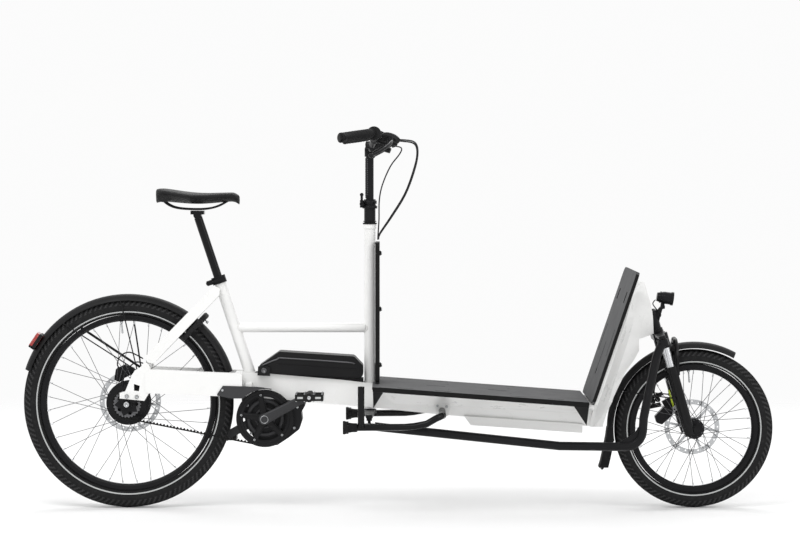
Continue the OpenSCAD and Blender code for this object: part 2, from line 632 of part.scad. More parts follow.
// Twist shifter beside the right grip
module twist_shifter() color(black) at0() difference() {
  rod([803.2, -164, 1209.9], [801.2, -196, 1213.8], 19);
  sweep(smooth([[796, -90, 1184], [803, -140, 1206], [802, -196, 1216], [776, -250, 1211]], 6), 12.2,
    12, [0, 0, 1]);
  rod([803.5, -159, 1209.3], [800.9, -201, 1214.4], 14.8);
}
// Ball socket on the rear steering stud
module rod_socket() color(steel) at0() difference() {
  translate(ball_r) sphere(r = 11, $fn = 32);
  zcyl(ball_r[0], ball_r[1], 5.5, 250, 300);
  translate([ball_r[0] - 20, ball_r[1] - 20, 291]) cube([40, 40, 20]);
  translate([ball_r[0] - 20, ball_r[1] - 20, 255]) cube([40, 40, 20]);
}
rod_path = concat([[802, -link_r, 281.6]], [[826, -link_r, 278.6], [900, -link_r, 270.7],
  [1391.7, -link_r, 219], [1585, -link_r, 216.6]],
  [for (a = [-80 : 15 : -5]) [1604 + 53 * cos(a), -link_r, 269.5 + 53 * sin(a)]],
  [[1660, -link_r, 310], [1680, -link_r, 412], [1699.2, -link_r, 501], [1711, -link_r, 532],
  [1716, -link_r, 542]]);
// Long bent tie rod from the column arm to the fork arm
module tie_rod() color(black) at0() difference() {
  union() {
    sweep(rod_path, 14, 12);
    zcyl(ball_r[0], ball_r[1], 18, 276, 290);
    xz(-link_r - 2.5, 2.5 - link_r) polygon([[1575, 226], [1616, 230], [1640, 250], [1646, 284],
      [1632, 262], [1604, 244]]);
    fork_frame() translate([0, -link_r, 292]) cylinder(r = 16, h = 21);
  }
  translate(ball_r) sphere(r = 11.5, $fn = 32);
  translate([ball_r[0], ball_r[1], 260]) cylinder(r = 9.5, h = 17);
  translate([ball_r[0], ball_r[1], 289]) cylinder(r = 9.5, h = 17);
  fork_frame() translate([0, -link_r, 299]) cylinder(r = 8, h = 40);
}
// Fork crown with steerer and steering arm
module fork_crown() color(black) at0() fork_frame() difference() {
  union() {
    translate([0, 0, 304]) cylinder(r = 14, h = 92);
    translate([-16, -62, 304]) cube([42, 124, 18.5]);
    for (s = [-1, 1]) translate([10, s * 65, 274]) cylinder(r = 20, h = 48.5);
    translate([0, 0, 317]) linear_extrude(8) hull() {
      translate([4, -66]) circle(r = 16, $fn = 32);
      translate([0, -link_r]) circle(r = 11, $fn = 32);
    }
    translate([0, -link_r, 303]) cylinder(r = 5, h = 16);
  }
  for (s = [-1, 1]) translate([10, s * 65, 270]) cylinder(r = 14, h = 44);
}
// Two bright inner tubes of the suspension fork
module stanchions() color(silver) at0() fork_frame() for (s = [-1, 1])
  translate([10, s * 65, 70]) cylinder(r = 14, h = 244);
// Sliding lower legs with the brace arch and front axle
module fork_lowers() color(black) at0() fork_frame() difference() {
  union() {
    for (s = [-1, 1]) {
      translate([10, s * 65, -22]) cylinder(r1 = 15, r2 = 19, h = 40);
      translate([10, s * 65, 17.9]) cylinder(r = 19, h = 190);
      translate([10, s * 65, 200]) cylinder(r = 20.5, h = 10);
      translate([22, s * 60 - 4, -22]) cube([20, 8, 26]);
      translate([31.7, s * 60 - 4, -9.1]) rotate([-90, 0, 0]) cylinder(r = 13, h = 8);
      translate([31.7, s * 67 - 3, -9.1]) rotate([-90, 0, 0]) cylinder(r = 9, h = 6);
    }
    sweep(smooth([[24, -66, 178], [36, -66, 226], [46, -52, 266], [50, -24, 284], [50, 0, 287],
      [50, 24, 284], [46, 52, 266], [36, 66, 226], [24, 66, 178]], 3), 8.5, 10, [1, 0, 0]);
    translate([31.7, -68, -9.1]) rotate([-90, 0, 0]) cylinder(r = 4.8, h = 136);
    translate([-14, -79, 96]) cube([30, 5, 36]);
  }
  for (s = [-1, 1]) translate([10, s * 65, 34]) cylinder(r = 14.4, h = 200);
}
// Front mudguard, mud flap and stays
module front_fender() color(black) at0() {
  front_wheel() fender_arc(249, 33, 2.5, 61, 189, 262);
  xz(-26, 26) polygon([[1555.5, 232], [1559, 232], [1566, 190], [1557, 150], [1543, 125], [1537, 125],
    [1549, 152], [1560, 190]]);
  both() {
    rod([1608, -31, 380], [1768, -79.5, 361], 2);
    translate([1768, -84, 361]) rotate([-90, 0, 0]) cylinder(r = 5, h = 5.4);
  }
}
// Disc brake caliper on the left fork leg
module front_caliper() color(black) at0() difference() {
  union() {
    xz(31, 60) offset(r = 4, $fn = 16) offset(delta = -4) polygon([[1716, 292], [1752, 330],
      [1776, 318], [1772, 296], [1740, 266], [1722, 272]]);
    xz(48, 62) polygon([[1740, 340], [1768, 356], [1790, 330], [1786, 300], [1762, 300]]);
  }
  front_wheel() translate([0, 0, 36.5]) cylinder(r = 95, h = 6);
  fork_frame() translate([10, 65, -30]) cylinder(r = 19.05, h = 260);
  front_wheel() translate([0, 0, -50]) cylinder(r = 62, h = 86);
}
module lamp_frame() translate([1742, 0, 683]) rotate([0, 8, 0]) children();
// Front lamp with its lens and cooling ring
module headlight() color(black) at0() lamp_frame() {
  rotate([0, 90, 0]) cylinder(r = 20, h = 26);
  translate([-24, 0, 0]) rotate([0, 90, 0]) cylinder(r1 = 14, r2 = 20, h = 24.01);
  translate([22, 0, 0]) rotate([0, 90, 0]) cylinder(r = 22, h = 8);
  for (x = [-14, -7]) translate([x, 0, 0]) rotate([0, 90, 0]) cylinder(r = 19, h = 3);
  translate([-8, -5.8, -30]) cube([12, 11.6, 16]);
  translate([-2, -5.8, -30]) rotate([-90, 0, 0]) cylinder(r = 6, h = 11.6);
}
module lamp_bracket() {
  both() xz(-10, -6.2) polygon([[1736, 646], [1744, 648], [1744, 658], [1736, 661], [1712, 634],
    [1712, 612], [1726, 612]]);
  xz(-9, 9) polygon([[1708, 600], [1725, 604], [1729, 622], [1720, 630], [1702, 626]]);
}

// ---------- cables ----------
// Hoses and wires on the frame
module frame_cables() color(black) at0() {
  sweep(smooth([[40, 66, 480], [-4, 74, 500], [-34, 74, 488], [-44, 66, 462], [-36, 58, 448]], 4), 2.2, 8,
    [0, 0, 1]);
  sweep(smooth([[52, -60, 474], [30, -72, 478], [4, -76, 456], [-12, -62, 420], [-14, -52, 396]], 4),
    2.2, 8, [1, 0, 0]);
  sweep(smooth([[1713, -4, 676], [1704, -14, 664], [1716, -18, 646], [1730, -16, 628], [1722, -8, 616]], 4),
    1.8, 8, [0, 1, 0.2]);
}
// Hoses and cables from the handlebar down to the steering tube
module control_cables() color(black) at0() {
  sweep(smooth([[846, -118, 1196], [884, -112, 1191], [928, -86, 1183], [938, -56, 1150],
    [926, -30, 1095], [898, -12, 1020], [852, -8, 945], [817, -3, 892], [811, -2, 872]], 4), 2.5, 8,
    [0, 1, 0.3]);
  sweep(smooth([[846, 118, 1196], [888, 104, 1197], [932, 62, 1188], [941, 24, 1150], [928, 8, 1090],
    [899, 4, 1015], [853, 6, 941], [818, 9, 890], [813, 9, 872]], 4), 2.5, 8, [0, 1, 0.3]);
  sweep(smooth([[806, -162, 1190], [850, -142, 1177], [886, -102, 1170], [882, -64, 1150],
    [852, -44, 1110], [826, -34, 1050], [816, -29, 1000], [815, -24, 940], [812, -14, 892],
    [811, -13, 872]], 4), 2.2, 8, [0, 1, 0.3]);
}

// ---------- stand ----------
leg_path = [[1019, -218, 319], [1012, -232, 317.4], [996, -242, 311], [968, -245.5, 295],
  [930, -246, 287.6], [899, -246, 284.6], [760, -246, 283.4], [742, -246, 283.3]];
// Folding two-leg stand with its cross shaft, rubber feet and foot lever
module stand_legs() color(black) at0() {
  ycyl(1019, 319, 11, -219, 219);
  both() {
    sweep(leg_path, 11, 12);
    rod([745, -246, 283.3], [718, -246, 283], 13);
    rod([720, -246, 283], [703, -246, 283], 20);
    rod([760, -257, 283.4], [760, -257, 300], 11);
  }
  rod([760, -257, 290], [760, -262, 414], 10.5);
}

// ---------- seat ----------
// Seat post with its head clamp
module seat_post() color(black) at0() {
  seat_frame() translate([0, 0, -190]) cylinder(r = 13.6, h = 404);
  ycyl(226, 952, 13, -22, 22);
  translate([204, -23, 954]) cube([44, 46, 12]);
}
function seat_w(t) = t < 0.42 ? 84 * pow(sin(25 + 65 * t / 0.42), 0.8)
  : 84 - 60 * pow((t - 0.42) / 0.58, 0.72);
function seat_ring(t) = let (x = 91 + saddle_l * t, w = seat_w(t), zt = 1037 - 16 * t + 4 * cos(360 * t),
  h = 44 - 16 * t)
  [for (a = [0 : 22.5 : 359]) [x + 0.01 * a / 360, w * cos(a) * (1 - 0.12 * abs(sin(a))),
    zt - (sin(a) > 0 ? 14 * (1 - sin(a)) : 14 - (h - 14) * sin(a))]];
// Padded saddle with its rails
module saddle() color(black) at0() {
  loft([for (t = [0 : 0.0833 : 1]) seat_ring(t)]);
  both() sweep(smooth([[116, -28, 1002], [140, -23, 985], [190, -22, 972], [250, -22, 972],
    [292, -17, 982], [334, -8, 1004]], 3), 3.5, 8);
}

main_beam();
chainstay_right();
chainstay_left();
rear_axle();
seat_tube();
top_tube();
column_tube();
seatstays();
cargo_hull();
head_tube();
front_shell();
deck();
rear_board();
front_panel();
rear_fender();
tail_light();
battery_base();
battery();
motor();
belt_cover();
ring_lock();
lock_shackle();
seat_collar();
rear_caliper();
stand_bracket();
frame_cables();
drive_belt();
column_shaft();
stem_post();
handlebar();
grips();
cockpit();
control_cables();
brake_lever_right();
brake_lever_left();
twist_shifter();
clamp_lever();
rod_socket();
tie_rod();
fork_crown();
stanchions();
fork_lowers();
front_fender();
front_caliper();
headlight();
front_tyre();
front_rim();
front_spokes();
front_hub();
rear_tyre();
rear_rim();
rear_spokes();
rear_hub();
rear_sprocket();
crankset();
pedal_right();
pedal_left();
stand_legs();
seat_post();
saddle();
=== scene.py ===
import json
import math
import bmesh
import bpy
from mathutils import Matrix, Vector
from mathutils.bvhtree import BVHTree


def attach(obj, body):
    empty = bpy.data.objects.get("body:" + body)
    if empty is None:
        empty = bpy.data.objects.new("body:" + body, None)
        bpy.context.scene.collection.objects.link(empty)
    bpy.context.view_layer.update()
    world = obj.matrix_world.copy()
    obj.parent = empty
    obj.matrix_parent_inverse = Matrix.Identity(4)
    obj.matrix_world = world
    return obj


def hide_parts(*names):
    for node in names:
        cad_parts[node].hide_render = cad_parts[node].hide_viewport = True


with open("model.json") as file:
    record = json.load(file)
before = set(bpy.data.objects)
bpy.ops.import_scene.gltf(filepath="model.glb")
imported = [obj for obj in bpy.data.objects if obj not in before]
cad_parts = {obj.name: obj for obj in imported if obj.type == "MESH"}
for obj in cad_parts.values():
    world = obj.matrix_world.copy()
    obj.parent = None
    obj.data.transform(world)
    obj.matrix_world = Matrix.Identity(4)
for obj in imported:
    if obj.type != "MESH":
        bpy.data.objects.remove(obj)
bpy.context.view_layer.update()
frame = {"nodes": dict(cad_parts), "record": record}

NODES = frame["nodes"]
pi, sin, cos = math.pi, math.sin, math.cos

# All in mm: x from the rear axle forward, y from the middle plane to the left, z from the ground up.
AXLE_SHIFT = 875.5                      # where the row frame's origin lies in x
REAR_R, FRONT_R, FRONT_X = 341.5, 258, 1838.5
CRANK_X, CRANK_Z, CRANK_LEN, CRANK_DEG = 446, 295, 167, 28
POST_X = 785                            # the upright steering column
SIDES = (-1, 1)
UP, ACROSS = Vector((0, 0, 1)), Vector((0, 1, 0))


def P(x, y, z):
    """Millimetres measured from the rear axle and the ground, to metres in the row frame."""
    return Vector(((x - AXLE_SHIFT) / 1000, y / 1000, z / 1000))


# ---------------------------------------------------------------- camera, floor, light
cam_data = bpy.data.cameras.new("camera")
cam = bpy.data.objects.new("camera", cam_data)
bpy.context.scene.collection.objects.link(cam)
cam_data.lens = 121.9
cam_data.sensor_width = 36
cam_data.clip_end = 100
cam.location = (0.0075, -8.8, 1.121)
cam.rotation_euler = (math.radians(90 - 2.19), 0, 0)
bpy.context.scene.camera = cam


# ---------------------------------------------------------------- materials
class Tree:
    """A small helper round a material's node tree."""

    def __init__(self, name):
        self.m = bpy.data.materials.new(name)
        self.m.use_nodes = True
        self.t = self.m.node_tree
        self.b = self.t.nodes["Principled BSDF"]
        self.co = self.t.nodes.new("ShaderNodeTexCoord").outputs["Object"]

    def link(self, a, b):
        self.t.links.new(a, b)

    def mapped(self, scale):
        n = self.t.nodes.new("ShaderNodeMapping")
        n.inputs["Scale"].default_value = scale
        self.link(self.co, n.inputs["Vector"])
        return n.outputs["Vector"]

    def noise(self, scale, detail=4, rough=0.55, vec=None):
        n = self.t.nodes.new("ShaderNodeTexNoise")
        n.inputs["Scale"].default_value = scale
        n.inputs["Detail"].default_value = detail
        n.inputs["Roughness"].default_value = rough
        self.link(vec or self.co, n.inputs["Vector"])
        return n.outputs["Fac"]

    def voronoi(self, scale, feature="F1"):
        n = self.t.nodes.new("ShaderNodeTexVoronoi")
        n.feature = feature
        n.inputs["Scale"].default_value = scale
        self.link(self.co, n.inputs["Vector"])
        return n.outputs["Distance"]

    def wave(self, scale, direction):
        n = self.t.nodes.new("ShaderNodeTexWave")
        n.bands_direction = direction
        n.inputs["Scale"].default_value = scale
        self.link(self.co, n.inputs["Vector"])
        return n.outputs["Fac"]

    def ramp(self, fac, stops):
        n = self.t.nodes.new("ShaderNodeValToRGB")
        while len(n.color_ramp.elements) < len(stops):
            n.color_ramp.elements.new(0.5)
        for e, (p, c) in zip(n.color_ramp.elements, stops):
            e.position = p
            e.color = (*c, 1)
        self.link(fac, n.inputs["Fac"])
        return n.outputs["Color"]

    def range(self, fac, lo, hi, a=0.0, b=1.0):
        n = self.t.nodes.new("ShaderNodeMapRange")
        n.inputs["From Min"].default_value = a
        n.inputs["From Max"].default_value = b
        n.inputs["To Min"].default_value = lo
        n.inputs["To Max"].default_value = hi
        self.link(fac, n.inputs["Value"])
        return n.outputs["Result"]

    def math(self, op, a, b):
        n = self.t.nodes.new("ShaderNodeMath")
        n.operation = op
        for i, v in enumerate((a, b)):
            if isinstance(v, (int, float)):
                n.inputs[i].default_value = v
            else:
                self.link(v, n.inputs[i])
        return n.outputs["Value"]

    def mix(self, fac, a, b):
        n = self.t.nodes.new("ShaderNodeMix")
        n.data_type = "RGBA"
        if isinstance(fac, (int, float)):
            n.inputs["Factor"].default_value = fac
        else:
            self.link(fac, n.inputs["Factor"])
        for key, v in ((6, a), (7, b)):
            if isinstance(v, tuple):
                n.inputs[key].default_value = (*v, 1)
            else:
                self.link(v, n.inputs[key])
        return n.outputs[2]

    def bump(self, height, strength, distance):
        n = self.t.nodes.new("ShaderNodeBump")
        n.inputs["Strength"].default_value = strength
        n.inputs["Distance"].default_value = distance
        self.link(height, n.inputs["Height"])
        self.link(n.outputs["Normal"], self.b.inputs["Normal"])

    def set(self, **kw):
        for k, v in kw.items():
            s = self.b.inputs[k.replace("_", " ")]
            if isinstance(v, (int, float)):
                s.default_value = v
            elif isinstance(v, tuple):
                s.default_value = (*v, 1) if len(v) == 3 else v
            else:
                self.link(v, s)
        return self


def shade(base, k):
    return tuple(min(1.0, c * k) for c in base)


def coating(name, base, rough, metal=0.0, vary=0.08, grain=900.0, grain_h=0.00004, coat=0.0, spec=0.5,
            dust=0.0):
    """Paint, anodising or moulded plastic: drifting tone, fine specks, dust film, grain in the surface."""
    t = Tree(name)
    cloud = t.noise(5.0, 5)
    col = t.ramp(cloud, [(0.3, shade(base, 1 - vary)), (0.7, shade(base, 1 + vary))])
    speck = t.noise(260.0, 2)
    col = t.mix(t.range(speck, 0.0, 0.35, 0.55, 0.75), col, shade(base, 1 + 2 * vary))
    if dust:
        col = t.mix(t.range(t.noise(31.0, 6, 0.7), 0.0, dust, 0.5, 0.8), col, (0.16, 0.155, 0.145))
    r = t.math("ADD", t.range(t.noise(14.0, 6), rough - 0.05, rough + 0.05, 0.3, 0.7),
               t.range(speck, 0.0, 0.04, 0.5, 0.8))
    t.bump(t.noise(grain, 3), 0.5, grain_h)
    t.set(Base_Color=col, Roughness=r, Metallic=metal, Coat_Weight=coat, Coat_Roughness=0.08)
    t.b.inputs["Specular IOR Level"].default_value = spec * 0.5
    return t.m


def brushed(name, base, rough, scale):
    t = Tree(name)
    v = t.mapped(scale)
    lines = t.noise(1.0, 3, vec=v)
    col = t.ramp(lines, [(0.3, shade(base, 0.86)), (0.7, shade(base, 1.08))])
    col = t.mix(t.range(t.noise(25.0, 4), 0.0, 0.25, 0.5, 0.8), col, shade(base, 0.7))
    t.bump(lines, 0.35, 0.00003)
    t.set(Base_Color=col, Roughness=t.range(lines, rough - 0.08, rough + 0.1, 0.3, 0.7), Metallic=1.0)
    return t.m


def rubbery(name, base, grain, h=0.00008, rough=0.72):
    t = Tree(name)
    cloud = t.noise(9.0, 6, 0.65)
    col = t.ramp(cloud, [(0.3, shade(base, 0.84)), (0.55, base), (0.8, shade(base, 1.16))])
    dust = t.range(t.noise(90.0, 5, 0.7), 0.0, 0.10, 0.5, 0.78)
    col = t.mix(dust, col, (0.12, 0.118, 0.11))
    t.bump(t.voronoi(grain), 0.6, h)
    t.set(Base_Color=col, Roughness=t.range(cloud, rough - 0.06, rough + 0.1, 0.3, 0.7))
    t.b.inputs["Specular IOR Level"].default_value = 0.1
    return t.m


MAT = {}
MAT["frame_white"] = coating("paint_white", (0.80, 0.80, 0.79), 0.3, vary=0.012, grain=420.0,
                             grain_h=0.00003, coat=0.3)
MAT["black_metal"] = coating("anodised_black", (0.011, 0.011, 0.012), 0.34, 0.3, 0.2, 1300.0, 0.00003,
                             spec=0.3)
MAT["gloss_black"] = coating("painted_black", (0.006, 0.006, 0.0065), 0.2, 0.0, 0.2, 700.0, 0.00002,
                             spec=0.32)
MAT["deck_grey"] = coating("powder_grey", (0.078, 0.079, 0.081), 0.62, 0.0, 0.05, 1500.0, 0.00011, spec=0.2,
                           dust=0.05)
MAT["edge_black"] = coating("edge_black", (0.008, 0.008, 0.008), 0.55, 0.0, 0.1, 1500.0, 0.00008, spec=0.2)
MAT["black_plastic"] = coating("moulded_black", (0.011, 0.011, 0.0115), 0.48, 0.0, 0.15, 1700.0, 0.00007,
                               spec=0.28, dust=0.02)
MAT["battery_black"] = coating("battery_shell", (0.008, 0.008, 0.0085), 0.4, 0.0, 0.12, 1500.0, 0.00007,
                               spec=0.3)
MAT["motor_black"] = coating("motor_shell", (0.012, 0.012, 0.013), 0.42, 0.2, 0.14, 1100.0, 0.00009,
                             spec=0.35)
MAT["cover_grey"] = coating("guard_grey", (0.045, 0.045, 0.047), 0.5, 0.0, 0.06, 1500.0, 0.00006, spec=0.25)
MAT["lamp_black"] = coating("lamp_shell", (0.010, 0.010, 0.011), 0.3, 0.3, 0.15, 1300.0, 0.00003, spec=0.35)
MAT["rim_black"] = coating("rim_anodised", (0.009, 0.009, 0.010), 0.42, 0.2, 0.2, 1500.0, 0.00003,
                           spec=0.25)
MAT["pedal_black"] = coating("pedal_plastic", (0.012, 0.012, 0.012), 0.5, 0.0, 0.2, 1300.0, 0.0001,
                              spec=0.3)
MAT["cable_black"] = coating("hose_black", (0.009, 0.009, 0.010), 0.4, 0.0, 0.2, 2200.0, 0.00005, spec=0.3)
MAT["arm_grey"] = coating("crank_arm", (0.040, 0.040, 0.042), 0.38, 0.45, 0.12, 1200.0, 0.00003, spec=0.4)
MAT["steel"] = brushed("brushed_steel", (0.52, 0.53, 0.54), 0.3, (300, 300, 300))
MAT["dark_steel"] = brushed("dark_steel", (0.13, 0.13, 0.135), 0.38, (300, 300, 300))
MAT["silver_metal"] = brushed("satin_alloy", (0.66, 0.67, 0.685), 0.26, (700, 700, 6))
MAT["belt_rubber"] = rubbery("belt_rubber", (0.008, 0.008, 0.008), 2200.0)
MAT["grip_rubber"] = rubbery("grip_rubber", (0.011, 0.011, 0.0115), 900.0, 0.00018)
# a lighter grey than the sidewall rubber, used on the raised tread block tops
MAT["tread_dust"] = rubbery("tread_blocks", (0.036, 0.036, 0.037), 1500.0, 0.0001, 0.75)
MAT["tyre_black"] = rubbery("tyre_rubber", (0.013, 0.013, 0.0135), 1500.0, 0.0001, 0.66)


def make_red():
    t = Tree("red_lens")
    ribs = t.wave(150.0, "Z")
    cells = t.voronoi(260.0)
    col = t.ramp(t.math("MULTIPLY", ribs, cells), [(0.0, (0.20, 0.006, 0.005)), (0.5, (0.46, 0.03, 0.022))])
    t.bump(t.math("ADD", ribs, cells), 0.6, 0.0006)
    t.set(Base_Color=col, Roughness=t.range(t.noise(60), 0.08, 0.2), Coat_Weight=0.6, Coat_Roughness=0.05)
    return t.m


def make_leather():
    t = Tree("saddle_cover")
    cells = t.voronoi(620.0, "DISTANCE_TO_EDGE")
    pores = t.noise(1500.0, 2)
    tone = t.noise(12.0, 5)
    col = t.ramp(tone, [(0.3, (0.008, 0.008, 0.0085)), (0.7, (0.014, 0.014, 0.0145))])
    col = t.mix(t.range(cells, 0.5, 0.0, 0.0, 0.05), col, (0.005, 0.005, 0.005))
    col = t.mix(t.range(t.noise(40.0, 4), 0.0, 0.2, 0.55, 0.8), col, (0.018, 0.018, 0.018))
    t.bump(t.math("ADD", t.range(cells, 0.0, 1.0, 0.0, 0.12), t.math("MULTIPLY", pores, 0.3)), 0.6, 0.00022)
    t.set(Base_Color=col, Roughness=t.range(tone, 0.42, 0.56, 0.3, 0.7))
    t.b.inputs["Specular IOR Level"].default_value = 0.14
    return t.m


def make_glass():
    t = Tree("lens_clear")
    cloud = t.noise(40.0, 3)
    t.bump(t.wave(95.0, "Y"), 0.4, 0.0004)
    t.set(Base_Color=t.ramp(cloud, [(0.3, (0.72, 0.76, 0.80)), (0.7, (0.85, 0.88, 0.9))]),
          Roughness=t.range(cloud, 0.04, 0.1, 0.3, 0.7), Metallic=0.55, Coat_Weight=1.0,
          Coat_Roughness=0.03)
    return t.m


def make_reflective():
    t = Tree("reflective_band")
    beads = t.voronoi(1500.0)
    col = t.ramp(beads, [(0.1, (0.62, 0.63, 0.62)), (0.6, (0.40, 0.41, 0.41))])
    t.bump(beads, 0.4, 0.00008)
    t.set(Base_Color=col, Roughness=t.range(t.noise(30.0), 0.3, 0.45))
    return t.m


MAT["red_lens"] = make_red()
MAT["saddle_black"] = make_leather()
MAT["lens"] = make_glass()
MAT["reflective"] = make_reflective()
MAT["lime"] = coating("lime_label", (0.50, 0.62, 0.05), 0.4, vary=0.06)
MAT["weld_white"] = coating("weld_paint", (0.76, 0.76, 0.745), 0.32, vary=0.03, grain=300.0,
                            grain_h=0.00008, coat=0.3)

SLOT = {s["node"]: s["material_slot"] for s in frame["record"]["subparts"]}
for n, o in NODES.items():
    m = MAT[SLOT[n]]
    if not o.material_slots:
        o.data.materials.append(m)
    for s in o.material_slots:
        s.material = m


def paint(node, mat, test):
    """Gives the faces of a CAD node that pass test(centre in P's mm, normal) their own finish."""
    o = NODES[node]
    o.data.materials.append(mat)
    k = len(o.data.materials) - 1
    for f in o.data.polygons:
        c = f.center
        if test(Vector((c.x * 1000 + AXLE_SHIFT, c.y * 1000, c.z * 1000)), f.normal):
            f.material_index = k


def far(c, x, z):
    """Distance seen from the side."""
    return math.hypot(c.x - x, c.z - z)


NODES["stand_bracket"].material_slots[0].material = MAT["frame_white"]
for n in ("rear_spokes", "front_spokes"):
    NODES[n].material_slots[0].material = MAT["dark_steel"]
for n in ("deck", "rear_board", "front_panel"):
    paint(n, MAT["edge_black"], lambda c, k: abs(k.y) > 0.7)
paint("front_panel", MAT["edge_black"], lambda c, k: k.x > 0.5 or k.z > 0.8)
paint("rear_board", MAT["edge_black"], lambda c, k: k.z > 0.7 or k.x > 0.5 and abs(c.x - 820) < 4)
paint("deck", MAT["edge_black"], lambda c, k: k.z < -0.5)
paint("belt_cover", MAT["frame_white"], lambda c, k: c.z > 400 and 382 < c.x < 406 and c.y > -67)
paint("crankset", MAT["arm_grey"], lambda c, k: abs(c.y) > 84.5)
paint("rear_hub", MAT["steel"], lambda c, k: c.y > 36 and far(c, 0, REAR_R) > 62)
paint("front_hub", MAT["steel"], lambda c, k: c.y > 22 and far(c, FRONT_X, FRONT_R) > 28)
paint("rear_sprocket", MAT["dark_steel"], lambda c, k: far(c, 0, REAR_R) >= 36)
paint("rear_sprocket", MAT["black_metal"], lambda c, k: far(c, 0, REAR_R) < 36)
for n in ("stand_legs", "fork_lowers", "handlebar", "seat_post"):
    NODES[n].material_slots[0].material = MAT["gloss_black"]


# ---------------------------------------------------------------- soft edges on the CAD pieces
def soften(name, width):
    """Joins the facets, rounds the edges by width in metres and shades the flats as flats."""
    o = NODES[name]
    w = o.modifiers.new("join", "WELD")
    w.merge_threshold = 0.00002
    if name in FLAT:
        d = o.modifiers.new("flats", "DECIMATE")
        d.decimate_type = "DISSOLVE"
        d.angle_limit = math.radians(1.5)
        d.delimit = {"MATERIAL"}
    if width:
        b = o.modifiers.new("edges", "BEVEL")
        b.width = width
        b.segments = 2
        b.limit_method = "ANGLE"
        b.angle_limit = math.radians(28)
    for p in o.data.polygons:
        p.use_smooth = True
    if o.data.has_custom_normals:
        with bpy.context.temp_override(object=o, active_object=o, selected_objects=[o]):
            bpy.ops.mesh.customdata_custom_splitnormals_clear()
    s = o.modifiers.new("flat_parts", "WEIGHTED_NORMAL")
    s.keep_sharp = True
    s.weight = 80


WIDTHS = {"main_beam": 0.004, "chainstay_right": 0.0035, "chainstay_left": 0.0035, "seatstays": 0.003,
          "cargo_hull": 0.004, "front_shell": 0.004, "deck": 0.0012, "rear_board": 0.0018,
          "front_panel": 0.0018, "battery": 0.005, "motor": 0.004, "belt_cover": 0.0008,
          "ring_lock": 0.002, "crankset": 0.0012, "pedal_right": 0.0012, "pedal_left": 0.0012,
          "cockpit": 0.0012, "tail_light": 0.002, "fork_crown": 0.002, "fork_lowers": 0.0015,
          "rear_caliper": 0.0015, "front_caliper": 0.0015, "rear_rim": 0.0005, "front_rim": 0.0005,
          "rear_axle": 0.0008, "head_tube": 0.0008, "column_tube": 0.0015, "seat_post": 0.001,
          "seat_collar": 0.001, "battery_base": 0.0012, "stand_bracket": 0.001, "column_shaft": 0.001,
          "stem_post": 0.001, "clamp_lever": 0.001, "tie_rod": 0.0008, "rear_hub": 0.0006,
          "front_hub": 0.0006, "rear_sprocket": 0.0004, "headlight": 0.0008, "twist_shifter": 0.0012,
          "top_tube": 0.0, "seat_tube": 0.0008}
FLAT = {"deck", "front_panel", "rear_board", "cargo_hull", "main_beam", "chainstay_right", "chainstay_left",
        "battery", "column_tube", "front_shell", "belt_cover", "motor", "battery_base"}
for n in NODES:
    soften(n, WIDTHS.get(n, 0.0))


# ---------------------------------------------------------------- mesh helpers
def new(name, bm, body, slot, mat=None, smooth=True):
    """Turns bm into a piece that rides on body, in the slot's material unless mat is given."""
    me = bpy.data.meshes.new(name)
    bmesh.ops.recalc_face_normals(bm, faces=bm.faces)
    bm.to_mesh(me)
    bm.free()
    o = bpy.data.objects.new(name, me)
    bpy.context.scene.collection.objects.link(o)
    for p in me.polygons:
        p.use_smooth = smooth
    me.materials.append(mat or MAT[slot])
    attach(o, body)
    return o


def bevel(o, width, segments=2):
    b = o.modifiers.new("edges", "BEVEL")
    b.width = width
    b.segments = segments
    b.limit_method = "ANGLE"
    b.angle_limit = math.radians(30)
    n = o.modifiers.new("flat_parts", "WEIGHTED_NORMAL")
    n.weight = 80
    return o


def frame_of(d):
    """Two directions across d."""
    d = Vector(d).normalized()
    a = UP if abs(d.z) < 0.9 else Vector((1, 0, 0))
    u = d.cross(a).normalized()
    return u, d.cross(u)


def lathe(bm, prof, origin, axis, steps=48, closed=False):
    """prof is a list of (along, radius); turned round axis at origin."""
    axis = Vector(axis).normalized()
    u, v = frame_of(axis)
    rows = []
    for k in range(steps):
        a = 2 * pi * k / steps
        d = u * cos(a) + v * sin(a)
        rows.append([bm.verts.new(Vector(origin) + axis * s + d * r) for s, r in prof])
    n = len(prof)
    for k in range(steps):
        a, b = rows[k], rows[(k + 1) % steps]
        for i in range(n if closed else n - 1):
            j = (i + 1) % n
            bm.faces.new((a[i], a[j], b[j], b[i]))
    if not closed:
        bm.faces.new([r[0] for r in rows])
        bm.faces.new([r[-1] for r in reversed(rows)])


def loft(bm, rows, caps=True):
    """Skins rings of vertices in order, each ring closed, and closes the two ends."""
    n = len(rows[0])
    for a, b in zip(rows, rows[1:]):
        for k in range(n):
            bm.faces.new((a[k], a[(k + 1) % n], b[(k + 1) % n], b[k]))
    if caps:
        bm.faces.new(list(reversed(rows[0])))
        bm.faces.new(rows[-1])


def tube(bm, pts, radius, sides=10):
    """Sweeps a round section along pts; radius is a number or a function of t, 0 to 1 along the way."""
    pts = [Vector(p) for p in pts]
    rows = []
    u = None
    for i, p in enumerate(pts):
        d = (pts[min(i + 1, len(pts) - 1)] - pts[max(i - 1, 0)]).normalized()
        if u is None:
            u = d.cross(ACROSS).normalized()
        u = (u - d * u.dot(d)).normalized()
        v = d.cross(u)
        r = radius(i / (len(pts) - 1)) if callable(radius) else radius
        rows.append([bm.verts.new(p + u * (r * cos(2 * pi * k / sides)) + v * (r * sin(2 * pi * k / sides)))
                     for k in range(sides)])
    loft(bm, rows)


